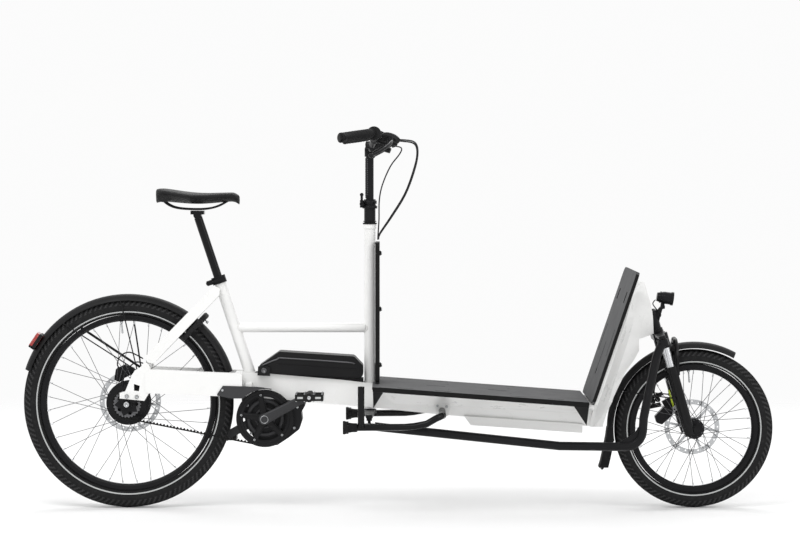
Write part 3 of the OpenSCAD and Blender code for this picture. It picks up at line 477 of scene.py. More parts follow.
def smooth_path(pts, k):
    """A curve through pts with k steps between each two."""
    pts = [Vector(p) for p in pts]
    out = []
    for i in range(len(pts) - 1):
        a, b, c, d = pts[max(i - 1, 0)], pts[i], pts[i + 1], pts[min(i + 2, len(pts) - 1)]
        for j in range(k):
            t = j / k
            out.append(0.5 * (2 * b + (c - a) * t + (2 * a - 5 * b + 4 * c - d) * t * t
                              + (3 * b - a - 3 * c + d) * t ** 3))
    return out + [pts[-1]]


def hose(bm, pts, steps, radius, sides, s=1):
    """A tube along the curve through pts, in the same mm as P; s = -1 mirrors it to the other side."""
    tube(bm, smooth_path([P(x, y * s, z) for x, y, z in pts], steps), radius, sides)


def bolt(bm, at, axis, r=4.2, h=4.5, socket=0.5):
    """A cap screw with rounded shoulder and a hexagon socket; r and h in mm."""
    at, r, h = Vector(at), r / 1000, h / 1000
    axis = Vector(axis).normalized()
    u, v = frame_of(axis)
    n = 24
    rings = []
    for s, k in ((0, 1), (h * 0.75, 1), (h, 0.86), (h, None), (h * 0.45, None)):
        row = []
        for i in range(n):
            a = 2 * pi * i / n
            if k is None:
                side = (a + pi / 6) % (pi / 3) - pi / 6
                rr = r * socket / cos(side)
            else:
                rr = r * k
            row.append(bm.verts.new(at + axis * s + u * (rr * cos(a)) + v * (rr * sin(a))))
        rings.append(row)
    loft(bm, rings, caps=False)
    bm.faces.new(list(reversed(rings[-1])))
    bm.faces.new(rings[0])


# ---------------------------------------------------------------- tyres
LUG = 1.6                               # height of the tread blocks


def tyre(name, node, body, centre, R, w, rb, blocks, stripe_r):
    """Tyre carcass with block tread, shoulder sipes and a reflective band; sizes in mm.

    R outer radius, w width, rb bead radius, blocks round the tread, stripe_r radius of the band."""
    bm = bmesh.new()
    ro, cr = w / 2, R - w / 2
    segs = blocks * 8
    m = 52
    a0 = math.acos((rb - cr) / (ro - 0.4)) if abs(rb - cr) < ro else 2.6
    prof = [-a0 + 2 * a0 * i / m for i in range(m + 1)]
    rows, lifts = [], []
    for k in range(segs):
        th = 2 * pi * k / segs
        row = []
        lifts.append([])
        for i, a in enumerate(prof):
            ay = abs(sin(a))
            ph = (k + (4 if a > 0 else 0)) % 8
            if abs(a) < 1.36:
                lift = LUG
                if 0.14 < ay < 0.24 or 0.50 < ay < 0.60:
                    lift = 0.0
                elif ay >= 0.60 and (ph + int(5 * (abs(a) - 0.64))) % 4 == 0:
                    lift = -1.2
                elif 0.24 <= ay <= 0.50 and (ph + int(ay * 12)) % 4 == 0:
                    lift = -0.2
            else:
                lift = 0.0
            lifts[-1].append(lift)
            r = cr + cos(a) * (ro - LUG + lift)
            y = sin(a) * (ro - LUG + lift)
            row.append(bm.verts.new((centre.x + r * sin(th) / 1000, y / 1000,
                                     centre.z + r * cos(th) / 1000)))
        rows.append(row)
    for k in range(segs):
        a, b = rows[k], rows[(k + 1) % segs]
        for i in range(m):
            f = bm.faces.new((a[i], a[i + 1], b[i + 1], b[i]))
            nxt = lifts[(k + 1) % segs]
            # faces on the raised blocks take the lighter grey; the grooves and sidewall keep the darker rubber
            f.material_index = int(min(lifts[k][i], lifts[k][i + 1], nxt[i], nxt[i + 1]) > 1.0)
    inner = []
    for k in range(segs):
        th = 2 * pi * k / segs
        inner.append([bm.verts.new((centre.x + (rb + 4) * sin(th) / 1000,
                                    s * (abs(sin(a0)) * ro - 6) / 1000,
                                    centre.z + (rb + 4) * cos(th) / 1000)) for s in SIDES])
    for k in range(segs):
        a, b, c, d = rows[k], rows[(k + 1) % segs], inner[k], inner[(k + 1) % segs]
        bm.faces.new((a[0], b[0], d[0], c[0]))
        bm.faces.new((a[-1], c[1], d[1], b[-1]))
        bm.faces.new((c[0], d[0], d[1], c[1]))
    o = new(name, bm, body, "tyre_black")
    o.data.materials.append(MAT["tread_dust"])
    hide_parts(node)
    bm = bmesh.new()
    a = math.acos(min(1, max(-1, (stripe_r - cr) / (ro - LUG))))
    half = 2.4 / ro                     # half the band's width, as an angle round the section
    a1, a2 = a - half, a + half
    for s in SIDES:
        pr = [((s * sin(q) * (ro - LUG + h)) / 1000, (cr + cos(q) * (ro - LUG + h)) / 1000)
              for q, h in ((a1, -0.6), (a1, 0.35), ((a1 + a2) / 2, 0.55), (a2, 0.35), (a2, -0.6))]
        lathe(bm, pr, centre, (0, 1, 0), 144, closed=True)
    new(name + "_band", bm, body, "tyre_black", MAT["reflective"])


RC, FC = P(0, 0, REAR_R), P(FRONT_X, 0, FRONT_R)
tyre("rear_tread", "rear_tyre", "rear_wheel", RC, REAR_R, 62, 286.0, 58, 296.5)
tyre("front_tread", "front_tyre", "front_wheel", FC, FRONT_R, 54, 210.0, 44, 217.5)


def nipples(name, body, c, ri, first):
    """One for each of 36 spokes at radius ri in mm, the first at that angle, in degrees."""
    bm = bmesh.new()
    for k in range(36):
        a = math.radians(360 * k / 36 + first)
        s = 1 if k % 2 == 0 else -1
        y = s * (4 if (k // 2) % 2 == 0 else 1.5) / 1000
        d = Vector((cos(a), 0, -sin(a)))
        lathe(bm, [(-0.012, 0.0016), (-0.010, 0.0021), (-0.002, 0.0021), (0.0, 0.0030), (0.003, 0.0030)],
              c + d * (ri / 1000) + Vector((0, y, 0)), d, 8)
    new(name, bm, body, "silver_metal")


nipples("rear_nipples", "rear_wheel", RC, 267, 4.3)
nipples("front_nipples", "front_wheel", FC, 190, 0)

for nm, body, c, ri in (("rear_valve", "rear_wheel", RC, 266), ("front_valve", "front_wheel", FC, 189)):
    bm = bmesh.new()
    a = math.radians(95)
    d = Vector((cos(a), 0, sin(a)))
    lathe(bm, [(-0.040, 0.0022), (-0.038, 0.0030), (-0.030, 0.0030), (-0.029, 0.0026), (-0.006, 0.0026),
               (-0.005, 0.0050), (0.001, 0.0050)], c + d * (ri / 1000), d, 16)
    new(nm, bm, body, "steel")


# ---------------------------------------------------------------- toothed belt
def belt():
    """Toothed belt in mm: a round each pulley, with a tooth for each four steps on the straight runs."""
    c1, r1, c2, r2 = (0.0, REAR_R), 45.6, (CRANK_X, CRANK_Z), 87.5
    dx, dz = c2[0] - c1[0], c2[1] - c1[1]
    L = math.hypot(dx, dz)
    base = math.atan2(dz, dx)
    off = math.acos((r1 - r2) / L)
    pts = []

    def arc(c, r, a, b, n):
        for i in range(n):
            t = a + (b - a) * i / n
            pts.append((c[0] + r * cos(t), c[1] + r * sin(t), cos(t), sin(t), 0))

    def run(ca, ra, cb, rb, a, n):
        p0 = (ca[0] + ra * cos(a), ca[1] + ra * sin(a))
        p1 = (cb[0] + rb * cos(a), cb[1] + rb * sin(a))
        for i in range(n):
            t = i / n
            pts.append((p0[0] + (p1[0] - p0[0]) * t, p0[1] + (p1[1] - p0[1]) * t, cos(a), sin(a), 1 + i % 4))

    up, lo = base + off, base - off
    n = int(L * 0.985 / 2.75) // 4 * 4
    arc(c1, r1, up, lo + 2 * pi, 60)
    run(c1, r1, c2, r2, lo, n)
    arc(c2, r2, lo, up, 110)
    run(c2, r2, c1, r1, up, n)
    bm = bmesh.new()
    rows = []
    for x, z, nx, nz, kind in pts:
        tooth = (0.0, -0.4, -0.4, -4.6, -4.6)[kind]
        section = ((-60.2, tooth), (-60.2, 2.9), (-59.0, 3.2), (-51.4, 3.2), (-50.2, 2.9), (-50.2, tooth),
                   (-55.2, tooth))
        rows.append([bm.verts.new(P(x + nx * h, y, z + nz * h)) for y, h in section])
    loft(bm, rows + rows[:1], caps=False)
    o = new("belt_toothed", bm, "frame", "belt_rubber", smooth=False)
    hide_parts("drive_belt")


belt()


# ---------------------------------------------------------------- saddle
def saddle():
    """Padded top with a groove and seams, its rails and the bumpers at the back; sizes in mm."""
    bm = bmesh.new()
    L, n, m = 272.0, 56, 48
    rows = []
    for i in range(n + 1):
        t = i / n
        tt = min(max(t, 0.004), 0.996)
        if tt < 0.42:
            w = 84 * sin(math.radians(25 + 65 * tt / 0.42)) ** 0.8
        else:
            w = 84 - 60 * ((tt - 0.42) / 0.58) ** 0.72
        end = 1.0
        if t < 0.10:
            end = math.sqrt(max(0.0, 1 - (1 - t / 0.10) ** 2)) * 0.45 + 0.55
        if t > 0.93:
            end = math.sqrt(max(0.0, 1 - ((t - 0.93) / 0.07) ** 2)) * 0.6 + 0.4
        w *= end
        zt = 1037 - 16 * t + 4 * cos(2 * pi * t)
        fall = 6 * max(0.0, 1 - t / 0.12) ** 2 + 12 * max(0.0, (t - 0.90) / 0.10) ** 2
        h = 44 - 16 * t
        row = []
        for k in range(m):
            a = 2 * pi * k / m
            ca, sa = cos(a), sin(a)
            y = w * math.copysign(abs(ca) ** 0.82, ca) * (1 - 0.10 * abs(sa))
            if sa >= 0:
                z = zt - fall - 15 * (1 - sa ** 0.75)
                starts, ends = min(1, max(0, (t - 0.06) / 0.1)), min(1, max(0, (0.92 - t) / 0.12))
                z -= math.exp(-(y / 7.5) ** 2) * 5.5 * starts * ends    # the groove along the middle
                seam = abs(abs(y) - w * 0.62)
                if seam < 2.2 and 0.05 < t < 0.95:
                    z -= 1.4 * (1 - seam / 2.2)
            else:
                z = zt - fall - 15 + (h - 14) * sa * (0.55 + 0.45 * abs(sa))
                if -0.35 < sa < -0.15:
                    y *= 1.015
            row.append(bm.verts.new(P(91 + L * t, y, z)))
        rows.append(row)
    loft(bm, rows)
    o = new("saddle_pad", bm, "seat", "saddle_black")
    s = o.modifiers.new("round", "SUBSURF")
    s.levels = s.render_levels = 1
    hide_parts("saddle")
    bm = bmesh.new()
    for s in SIDES:
        hose(bm, [(112, 30, 1008), (124, 26, 992), (150, 23, 978), (190, 22, 972), (250, 22, 972),
                  (292, 17, 981), (330, 10, 1002), (338, 8, 1012)], 6, 0.0035, 12, s)
    new("saddle_rails", bm, "seat", "steel", MAT["black_metal"])
    bm = bmesh.new()
    for s in SIDES:
        hose(bm, [(98, 46, 1013), (108, 58, 1003), (124, 62, 1000), (142, 64, 1004)], 5,
             lambda t: 0.006 * (0.4 + 0.6 * sin(pi * min(0.95, max(0.05, t)))), 10, s)
    new("saddle_bumpers", bm, "seat", "saddle_black", MAT["black_plastic"])


saddle()


# ---------------------------------------------------------------- grips
def grips():
    """Ribbed sleeves with a palm wing that widens towards the end; sizes in mm."""
    bm = bmesh.new()
    for s in (1, -1):
        path = smooth_path([P(792, -218 * s, 1214.8), P(776, -250 * s, 1211), P(736, -292 * s, 1205),
                            P(697, -327 * s, 1199.5)], 14)
        n = len(path) - 1
        rows = []
        for i, p in enumerate(path):
            t = i / n
            d = (path[min(i + 1, n)] - path[max(i - 1, 0)]).normalized()
            side = d.cross(UP).normalized() * s
            r = 15.2 + 1.2 * sin(pi * t)
            if t < 0.09 or t > 0.95:
                r = 16.2
            elif t < 0.13:
                r = 14.0
            wing = 12.0 * max(0.0, (t - 0.35) / 0.65) ** 1.3
            rib = 0.55 * (1 if (i % 3) else -1) if 0.16 < t < 0.92 else 0.0
            row = []
            for k in range(24):
                a = 2 * pi * k / 24
                ca, sa = cos(a), sin(a)
                out = r + (rib if sa > -0.2 else 0) + (wing * max(0.0, -ca) ** 2.5)
                rise = sa * (r + rib * 0.6) / 1000 * (1 - 0.12 * max(0, -ca))
                row.append(bm.verts.new(p + side * (ca * out / 1000) + UP * rise))
            rows.append(row)
        loft(bm, rows)
    o = new("grip_rubber_pair", bm, "stem", "grip_rubber")
    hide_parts("grips")


grips()


def block(bm, o, u, v, w, su, sv, sw):
    """A box centred on o with half sizes su, sv, sw along u, v, w."""
    vs = [bm.verts.new(o + u * (su * i) + v * (sv * j) + w * (sw * k))
          for i in (-1, 1) for j in (-1, 1) for k in (-1, 1)]
    for f in ((0, 1, 3, 2), (4, 6, 7, 5), (0, 4, 5, 1), (2, 3, 7, 6), (0, 2, 6, 4), (1, 5, 7, 3)):
        bm.faces.new([vs[i] for i in f])


# ---------------------------------------------------------------- welds on the white frame
def bvh(*names):
    """The faces of the CAD nodes as a tree that rays can be cast at."""
    bm = bmesh.new()
    for n in names:
        bm.from_mesh(NODES[n].data)
    t = BVHTree.FromBMesh(bm)
    bm.free()
    return t


def weld_round(bm, a, b, r, tree, size=2.3):
    """Bead where the round tube from a to b, radius r mm, meets what tree holds near b."""
    a, b = Vector(a), Vector(b)
    d = (b - a).normalized()
    u, v = frame_of(d)
    pts = []
    for k in range(72):
        q = 2 * pi * k / 72
        o = a + (u * cos(q) + v * sin(q)) * ((r + 0.3) / 1000)
        hit = tree.ray_cast(o, d)[0]
        if hit is None:
            return
        pts.append(hit)
    rows = []
    n = len(pts)
    for i, p in enumerate(pts):
        t = (pts[(i + 1) % n] - pts[i - 1]).normalized()
        e1 = t.cross(d).normalized()
        e2 = t.cross(e1)
        rr = size / 1000 * (1 + 0.16 * sin(i * 2 * pi / 3))
        rows.append([bm.verts.new(p + e1 * (rr * cos(2 * pi * j / 8)) + e2 * (rr * sin(2 * pi * j / 8)))
                     for j in range(8)])
    loft(bm, rows + rows[:1], caps=False)


bm = bmesh.new()
weld_round(bm, P(560, 0, 585.7), P(340, 0, 585.7), 15.5, bvh("seat_tube"))
weld_round(bm, P(560, 0, 585.7), P(790, 0, 585.7), 15.5, bvh("column_tube"))
weld_round(bm, P(330, 0, 633.3), P(397.5, 0, 429.5), 18.5, bvh("main_beam"))
weld_round(bm, P(POST_X, 0, 640), P(POST_X, 0, 380), 18, bvh("main_beam", "cargo_hull"))
new("weld_beads", bm, "frame", "frame_white", MAT["weld_white"])


# ---------------------------------------------------------------- screws
bm = bmesh.new()
for z in (464, 646, 828):
    bolt(bm, P(820.5, 0, z), (1, 0, 0), 6, 4)
for s in SIDES:
    bolt(bm, P(33, 80.4 * s, 366), (0, s, 0), 5.0, 3)
    bolt(bm, P(1, 80.4 * s, 368), (0, s, 0), 5.0, 3)
    bolt(bm, P(0, 82 * s, REAR_R), (0, s, 0), 9, 5, 0.45)
for x, z in ((1004, 336), (1034, 334)):
    for s in SIDES:
        bolt(bm, P(x, 64 * s, z), (0, s, 0), 4.5, 3.5)
for x, z in ((400, 245), (540, 262), (388, 335), (550, 330)):
    bolt(bm, P(x, 50, z), (0, 1, 0), 4.5, 3)
    bolt(bm, P(x, -40, z), (0, -1, 0), 4.5, 3)
for x, z in ((-30, 448), (2, 440)):
    bolt(bm, P(x, 64, z), (0, 1, 0), 4.2, 4)
bolt(bm, P(310, -82, 388), (0, -1, 0), 4, 2.5)
new("frame_screws", bm, "frame", "black_metal", MAT["steel"])

bm = bmesh.new()
for y in (-16, 16):
    for z in (1158.5, 1169.5):
        bolt(bm, P(817, y, z), (1, 0, 0), 3.4, 4)
new("stem_screws", bm, "stem", "black_metal", MAT["steel"])


# ---------------------------------------------------------------- cranks, chainring and motor rings
BB = P(CRANK_X, 0, CRANK_Z)


def arms(bm, angle, stations, section):
    """A bar out from the crank axle: stations are (radius, half width, ...), section gives each its ring."""
    d, e = Vector((cos(angle), 0, sin(angle))), Vector((-sin(angle), 0, cos(angle)))
    loft(bm, [[bm.verts.new(BB + d * (st[0] / 1000) + e * (k * st[1] / 1000) + Vector((0, y / 1000, 0)))
               for k, y in section(*st)] for st in stations])


bm = bmesh.new()
for s in SIDES:
    lathe(bm, [(0, 0.0132), (0.0052, 0.0126), (0.0052, 0.0114), (0, 0.0110)],
          P(CRANK_X, 98 * s, CRANK_Z), (0, s, 0), 40, closed=True)
SPIDER = [math.radians(72 * i + CRANK_DEG) for i in range(5)]
for a in SPIDER:
    bolt(bm, P(CRANK_X + 77 * cos(a), -64, CRANK_Z + 77 * sin(a)), (0, -1, 0), 3.6, 3.5)
new("crank_screws", bm, "cranks", "black_metal", MAT["steel"])
bm = bmesh.new()
for r0, r1, y0, y1 in ((80, 92.5, -64, -65.6), (70, 75, -63, -64.6)):
    lathe(bm, [(-y0 / 1000, r1 / 1000), (-y1 / 1000, (r1 - 0.8) / 1000), (-y1 / 1000, (r0 + 0.8) / 1000),
               (-y0 / 1000, r0 / 1000)], BB, (0, -1, 0), 96, closed=True)
for a in SPIDER:
    arms(bm, a, ((14, 11, 70), (34, 8.5, 69), (60, 6.5, 67), (84, 7.5, 66)), lambda r, w, h:
         ((-1, -62.5), (-1, -h + 1.5), (-0.6, -h), (0.6, -h), (1, -h + 1.5), (1, -62.5)))
bevel(new("crank_spider", bm, "cranks", "black_metal", MAT["gloss_black"]), 0.0006)
bm = bmesh.new()
for s in SIDES:
    stations = ((-16, 7), (-12, 12.5), (-5, 15.5), (8, 16.5), (60, 14), (120, 13), (158, 14.5), (172, 14),
                (180, 9))
    arms(bm, math.radians(CRANK_DEG), [(-s * r, w) for r, w in stations], lambda r, w:
         [(k, s * y) for k, y in ((-1, 91), (-1, 97.5), (-0.72, 101), (0, 101.8), (0.72, 101), (1, 97.5),
                                  (1, 91))])
bevel(new("crank_arm_faces", bm, "cranks", "black_metal", MAT["arm_grey"]), 0.0008)
bm = bmesh.new()
for r0, r1, y in ((24, 34, -50.5), (48, 62, -49)):
    lathe(bm, [(0.040, r1 / 1000), (-y / 1000 - 0.002, r1 / 1000), (-y / 1000, (r1 - 2) / 1000),
               (-y / 1000, (r0 + 2) / 1000), (-y / 1000 - 0.002, r0 / 1000), (0.040, r0 / 1000)],
          BB, (0, -1, 0), 72, closed=True)
new("motor_rings", bm, "frame", "motor_black", MAT["arm_grey"])


# ---------------------------------------------------------------- pedals
PEDAL_X, PEDAL_Z = CRANK_LEN * cos(math.radians(CRANK_DEG)), CRANK_LEN * sin(math.radians(CRANK_DEG))
for nm, body, s, y0 in (("right_pedal_trim", "right_pedal", 1, -201),
                        ("left_pedal_trim", "left_pedal", -1, 105)):
    c = P(CRANK_X + s * PEDAL_X, 0, CRANK_Z + s * PEDAL_Z)
    bm = bmesh.new()
    for sz in (-1, 1):
        for x in (-41, -15, 15, 41):
            for y in (6, 48, 90):
                lathe(bm, [(0, 0.0022), (0.002, 0.0022), (0.0032, 0.0014)],
                      c + Vector((x / 1000, (y0 + y) / 1000, sz * 0.0098)), (0, 0, sz), 8)
    outer = y0 if y0 < 0 else y0 + 96
    lathe(bm, [(0, 0.0062), (0.002, 0.0062), (0.0034, 0.0048), (0.0034, 0.0022), (0.0022, 0.002)],
          c + Vector((0, outer / 1000, 0)), (0, -s, 0), 24)
    new(nm, bm, body, "steel")
    bm = bmesh.new()
    for k in SIDES:
        bmesh.ops.create_grid(bm, x_segments=8, y_segments=3, size=0.5, matrix=(
            Matrix.Translation(c + Vector((k * 0.0285, outer / 1000 - s * 0.0009, 0)))
            @ Matrix.Rotation(pi / 2, 4, "X") @ Matrix.Diagonal((0.018, 0.0065, 1, 1))))
    for k in SIDES:
        bmesh.ops.create_grid(bm, x_segments=12, y_segments=4, size=0.5, matrix=(
            Matrix.Translation(c + Vector((k * 0.0453, (y0 + 48) / 1000, 0)))
            @ Matrix.Rotation(pi / 2, 4, "Y") @ Matrix.Diagonal((0.011, 0.066, 1, 1))))
    o = new(nm.replace("trim", "reflector"), bm, body, "pedal_black", MAT["reflective"])
    t = o.modifiers.new("thick", "SOLIDIFY")
    t.thickness = 0.0012
    t.offset = 0


# ---------------------------------------------------------------- lamp lens
bm = bmesh.new()
dip = math.radians(8)
lathe(bm, [(0.0265, 0.0), (0.0265, 0.0185), (0.0295, 0.0190), (0.0302, 0.0165), (0.0309, 0.010), (0.0311, 0.0)],
      P(1742, 0, 683), Vector((cos(dip), 0, -sin(dip))), 40)
new("lamp_lens", bm, "lamp", "lamp_black", MAT["lens"])


# ---------------------------------------------------------------- cockpit and post
DISPLAY, tip = P(818, 0, 1208), math.radians(25)
display_axis = Vector((sin(tip), 0, cos(tip)))
bm = bmesh.new()
lathe(bm, [(0.0, 0.030), (0.006, 0.034), (0.013, 0.034), (0.0165, 0.031), (0.0165, 0.027)], DISPLAY,
      display_axis, 48)
for s in SIDES:
    hose(bm, [(826, 150, 1204), (840, 152, 1207), (862, 160, 1201), (876, 172, 1192)], 6,
         lambda t: 0.0125 * (0.75 + 0.25 * sin(pi * min(0.97, max(0.03, t)))), 20, s)
    lathe(bm, [(0, 0.0215), (0.002, 0.0225), (0.012, 0.0225), (0.014, 0.0215)],
          P(801, 199 * s, 1214.6), (-0.06, s, 0.0), 32)
    hose(bm, [(800, 118, 1196), (802, 122, 1198), (804, 130, 1202)], 3, 0.0165, 24, s)
hose(bm, [(806, 60, 1180), (824, 66, 1196), (838, 70, 1198)], 5, 0.010, 20)
lathe(bm, [(0, 0.019), (0.004, 0.022), (0.016, 0.020), (0.024, 0.013), (0.027, 0.004)], P(796, 88, 1206),
      (0, 0, 1), 32)
for s in SIDES:
    hose(bm, [(776, 34, 1178), (800, 44, 1178), (830, 52, 1168), (852, 56, 1160)], 5,
         lambda t: 0.0135 - 0.005 * t, 20, s)
    hose(bm, [(812, 96, 1196), (838, 98, 1198), (858, 96, 1188), (866, 92, 1176)], 5,
         lambda t: 0.0145 - 0.004 * t, 20, s)
for s in SIDES:
    hose(bm, [(788, 60, 1170), (814, 72, 1184), (838, 80, 1189), (856, 84, 1180)], 5,
         lambda t: 0.0165 - 0.005 * t, 20, s)
bevel(new("control_pods", bm, "stem", "black_plastic"), 0.0006)
bm = bmesh.new()
lathe(bm, [(0.0166, 0.0265), (0.0168, 0.0260), (0.0168, 0.0)], DISPLAY, display_axis, 40)
new("display_glass", bm, "stem", "black_plastic", MAT["gloss_black"])
bm = bmesh.new()
for k in range(22):
    lathe(bm, [(0, 0.0), (0, 0.0026), (0.0028, 0.0026), (0.0028, 0.0)],
          P(POST_X - 12.6, 0, 1014 + 5.6 * k), (0, 0, 1), 8)
tube(bm, [P(POST_X - 11.5, 0, 1006), P(POST_X - 11.5, 0, 1138)], 0.0030, 10)
new("post_rack", bm, "stem", "black_metal")
bm = bmesh.new()
d = Vector((-0.5, -0.866, 0))
for k in range(20):
    block(bm, P(POST_X, 0, 1018 + 6 * k) + d * 0.0140, d, Vector((0.866, -0.5, 0)), UP,
          0.0006, 0.0016, 0.0014)
new("height_marks", bm, "stem", "black_metal", MAT["dark_steel"])
bm = bmesh.new()
for z, r, h in ((922, 23.2, 5), (930, 22.0, 3), (973, 24.4, 9), (988, 22.6, 11)):
    lathe(bm, [(0, (r - 1) / 1000), (0.001, r / 1000), (h / 1000 - 0.001, r / 1000),
               (h / 1000, (r - 1) / 1000)], P(POST_X, 0, z), (0, 0, 1), 48)
for s in SIDES:
    bolt(bm, P(759, 24 * s, 988), (0, s, 0), 6, 4)
new("post_rings", bm, "steering_column", "black_metal")


# ---------------------------------------------------------------- stand feet
bm = bmesh.new()
for s in SIDES:
    lathe(bm, [(0, 0.0205), (0.003, 0.0215), (0.007, 0.0213), (0.017, 0.0165), (0.030, 0.0145), (0.044, 0.0142),
               (0.046, 0.0125)], P(702, 246 * s, 283), (1, 0, 0), 40)
new("stand_feet", bm, "stand", "black_metal", MAT["grip_rubber"])


# ---------------------------------------------------------------- battery trim: lighter metal ribs as a painted ridge highlight, and the lock barrel
bm = bmesh.new()
# painted highlight: a lighter metal rib along each top ridge of the battery, standing in for the highlight where
# the side meets the top
for s in SIDES:
    hose(bm, [(434, 45.2, 464), (462, 45.4, 477), (492, 45.6, 488), (504, 45.6, 489.5), (716, 45.6, 475.5),
              (732, 45.2, 471)], 4, 0.0026, 8, s)
new("battery_ridge_highlight", bm, "battery", "battery_black", MAT["dark_steel"])
bm = bmesh.new()
lathe(bm, [(0, 0.0088), (0.0016, 0.0085), (0.0016, 0.0062), (0.0004, 0.0060), (0.0004, 0.0)],
      P(443, -61.8, 450), (0, -1, 0), 32)
new("lock_barrel", bm, "frame", "battery_black", MAT["dark_steel"])


# ---------------------------------------------------------------- slim shell of the ring lock
bm = bmesh.new()
a = math.radians(46.4)
lu, lw = Vector((cos(a), 0, sin(a))), Vector((-sin(a), 0, cos(a)))      # out from the wheel, along the rim
lo = RC + lu * 0.312 + lw * 0.013
OCTAGON = ((-1, -0.6), (-1, 0.6), (-0.65, 1), (0.65, 1), (1, 0.6), (1, -0.6), (0.65, -1), (-0.65, -1))
rows = []
for k in range(61):
    q = math.radians(-134 + 268 * k / 60)
    e = lu * cos(q) + ACROSS * sin(q)
    end = min(1.0, 0.45 + 0.55 * math.sqrt(min(1.0, min(k, 60 - k) / 3)))
    hr = (8.6 + 5.5 * max(0.0, cos(q)) ** 3) * end
    hz = (8.4 + 1.2 * max(0.0, cos(q)) ** 2) * end
    rows.append([bm.verts.new(lo + e * ((55.5 + (hr - 8.6) * 0.9 + hr * a_) / 1000) + lw * (hz * b_ / 1000))
                 for a_, b_ in OCTAGON])
loft(bm, rows)
for s in SIDES:
    block(bm, lo + lu * 0.022 + ACROSS * (0.0645 * s), lu, ACROSS, lw, 0.030, 0.0035, 0.0075)
    for out in (0.006, 0.040):
        lathe(bm, [(0, 0.0075), (0.003, 0.0075), (0.0042, 0.006)], lo + lu * out + ACROSS * (0.067 * s),
              (0, s, 0), 24)
o = new("lock_shell", bm, "frame", "black_plastic")
bevel(o, 0.001)
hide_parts("ring_lock")


# ---------------------------------------------------------------- tail lamp housing
bm = bmesh.new()
a = math.radians(146)
rad, along = Vector((cos(a), 0, sin(a))), Vector((-sin(a), 0, cos(a)))
block(bm, RC + rad * 0.3562, rad, along, ACROSS, 0.0060, 0.0272, 0.0322)
block(bm, RC + rad * 0.3610 + along * 0.0245, rad, along, ACROSS, 0.0098, 0.0032, 0.0322)
bevel(new("tail_housing", bm, "frame", "black_plastic"), 0.0015, 3)


# ---------------------------------------------------------------- rubber flap of the front mudguard
bm = bmesh.new()
side = ((1557, 262), (1553, 232), (1546, 196), (1536, 150), (1530, 131), (1560, 131), (1567, 160), (1576, 204),
        (1577, 240), (1573, 262))
for s in SIDES:
    rows = [[bm.verts.new(P(x, y * s, z)) for x, z in side] for y in (24.5, 28)]
    bm.faces.new(list(reversed(rows[0])))
    bm.faces.new(rows[1])
    for k in range(len(side)):
        bm.faces.new((rows[0][k], rows[0][(k + 1) % 10], rows[1][(k + 1) % 10], rows[1][k]))
back = [bm.verts.new(P(x + dx, y, z)) for y in (-25, 25) for dx in (0, 3.5) for x, z in side[:5]]
for k in range(4):
    bm.faces.new((back[k], back[k + 1], back[11 + k], back[10 + k]))
    bm.faces.new((back[5 + k], back[15 + k], back[16 + k], back[6 + k]))
for a_, b_ in ((0, 5), (4, 9)):
    bm.faces.new((back[a_], back[10 + a_], back[10 + b_], back[b_]))
for m_ in (0, 10):
    for k in range(4):
        bm.faces.new((back[m_ + k], back[m_ + 5 + k], back[m_ + 6 + k], back[m_ + k + 1]))
new("fender_flap", bm, "lowers", "black_plastic", MAT["grip_rubber"], smooth=False)


# ---------------------------------------------------------------- hose and mount of the front caliper
bm = bmesh.new()
hose(bm, [(1736, 40, 552), (1752, 52, 520), (1756, 59, 490), (1744, 61, 450), (1722, 62, 400), (1716, 60, 372),
          (1718, 58, 350)], 8, 0.0026, 10)
tube(bm, [P(1706, 58, 352), P(1744, 58, 366)], 0.0065, 14)
tube(bm, [P(1700, 58, 322), P(1738, 56, 330)], 0.0075, 14)
for x, z in ((1712, 340), (1728, 346)):
    lathe(bm, [(0, 0.009), (0.004, 0.009), (0.006, 0.007)], P(x, 66, z), (0, 1, 0), 24)
    lathe(bm, [(0, 0.007), (0.004, 0.007), (0.005, 0.005)], P(x, 44, z), (0, -1, 0), 24)
new("front_hose", bm, "lowers", "cable_black")


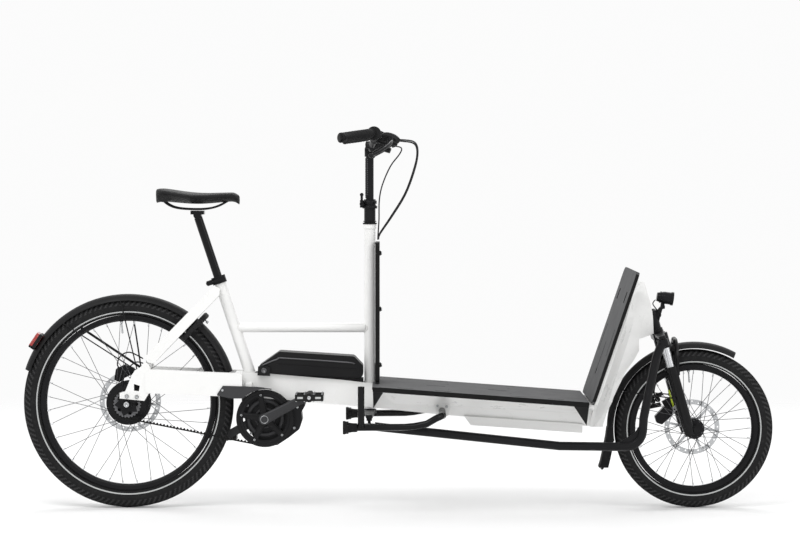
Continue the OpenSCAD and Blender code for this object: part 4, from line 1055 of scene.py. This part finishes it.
# ---------------------------------------------------------------- lime strip on the far fork leg
bm = bmesh.new()
leg, fz, fx = P(1805.5, 0, FRONT_R), Vector((-0.27564, 0, 0.96126)), Vector((0.96126, 0, 0.27564))
for up in range(70, 130, 6):
    block(bm, leg + fz * (up / 1000) + fx * (-0.0082) + Vector((0, 0.0480, 0)), fz, fx, ACROSS,
          0.0028, 0.0030, 0.0012)
new("fork_label", bm, "lowers", "black_metal", MAT["lime"])


# ---------------------------------------------------------------- stage
t = Tree("floor_pale")
t.set(Base_Color=t.ramp(t.noise(1.5, 3), [(0.3, (0.87, 0.87, 0.87)), (0.7, (0.89, 0.89, 0.89))]), Roughness=0.9)
t.bump(t.noise(60.0, 3), 0.1, 0.0005)
g = t.t.nodes.new("ShaderNodeTexGradient")
g.gradient_type = "SPHERICAL"
t.link(t.mapped((0.16, 0.22, 0.16)), g.inputs["Vector"])
t.set(Alpha=t.range(g.outputs["Fac"], 0.0, 1.0, 0.02, 0.45))
t.b.inputs["Specular IOR Level"].default_value = 0.1
bm = bmesh.new()
bmesh.ops.create_grid(bm, x_segments=2, y_segments=2, size=7)
me = bpy.data.meshes.new("floor")
bm.to_mesh(me)
bm.free()
me.materials.append(t.m)
o = bpy.data.objects.new("floor", me)
o.location.z = -0.0006
bpy.context.scene.collection.objects.link(o)

world = bpy.data.worlds.new("studio")
bpy.context.scene.world = world
world.use_nodes = True
world.node_tree.nodes["Background"].inputs["Color"].default_value = (1.0, 1.0, 1.0, 1)
world.node_tree.nodes["Background"].inputs["Strength"].default_value = 0.97


def area(name, loc, target, size, power):
    d = bpy.data.lights.new(name, "AREA")
    d.shape = "RECTANGLE"
    d.size, d.size_y = size
    d.energy = power
    o = bpy.data.objects.new(name, d)
    bpy.context.scene.collection.objects.link(o)
    o.location = loc
    o.rotation_euler = (Vector(target) - Vector(loc)).to_track_quat("-Z", "Y").to_euler()


area("key", (-1.6, -2.6, 4.2), (0, 0, 0.5), (3.2, 1.4), 75)
area("fill", (3.4, -2.4, 2.6), (0.4, 0, 0.5), (1.6, 1.2), 22)
area("rim", (0.5, 3.2, 3.4), (0, 0, 0.6), (4.0, 1.0), 45)
bpy.context.scene.view_settings.view_transform = "Standard"
bpy.context.scene.view_settings.exposure = 0.0
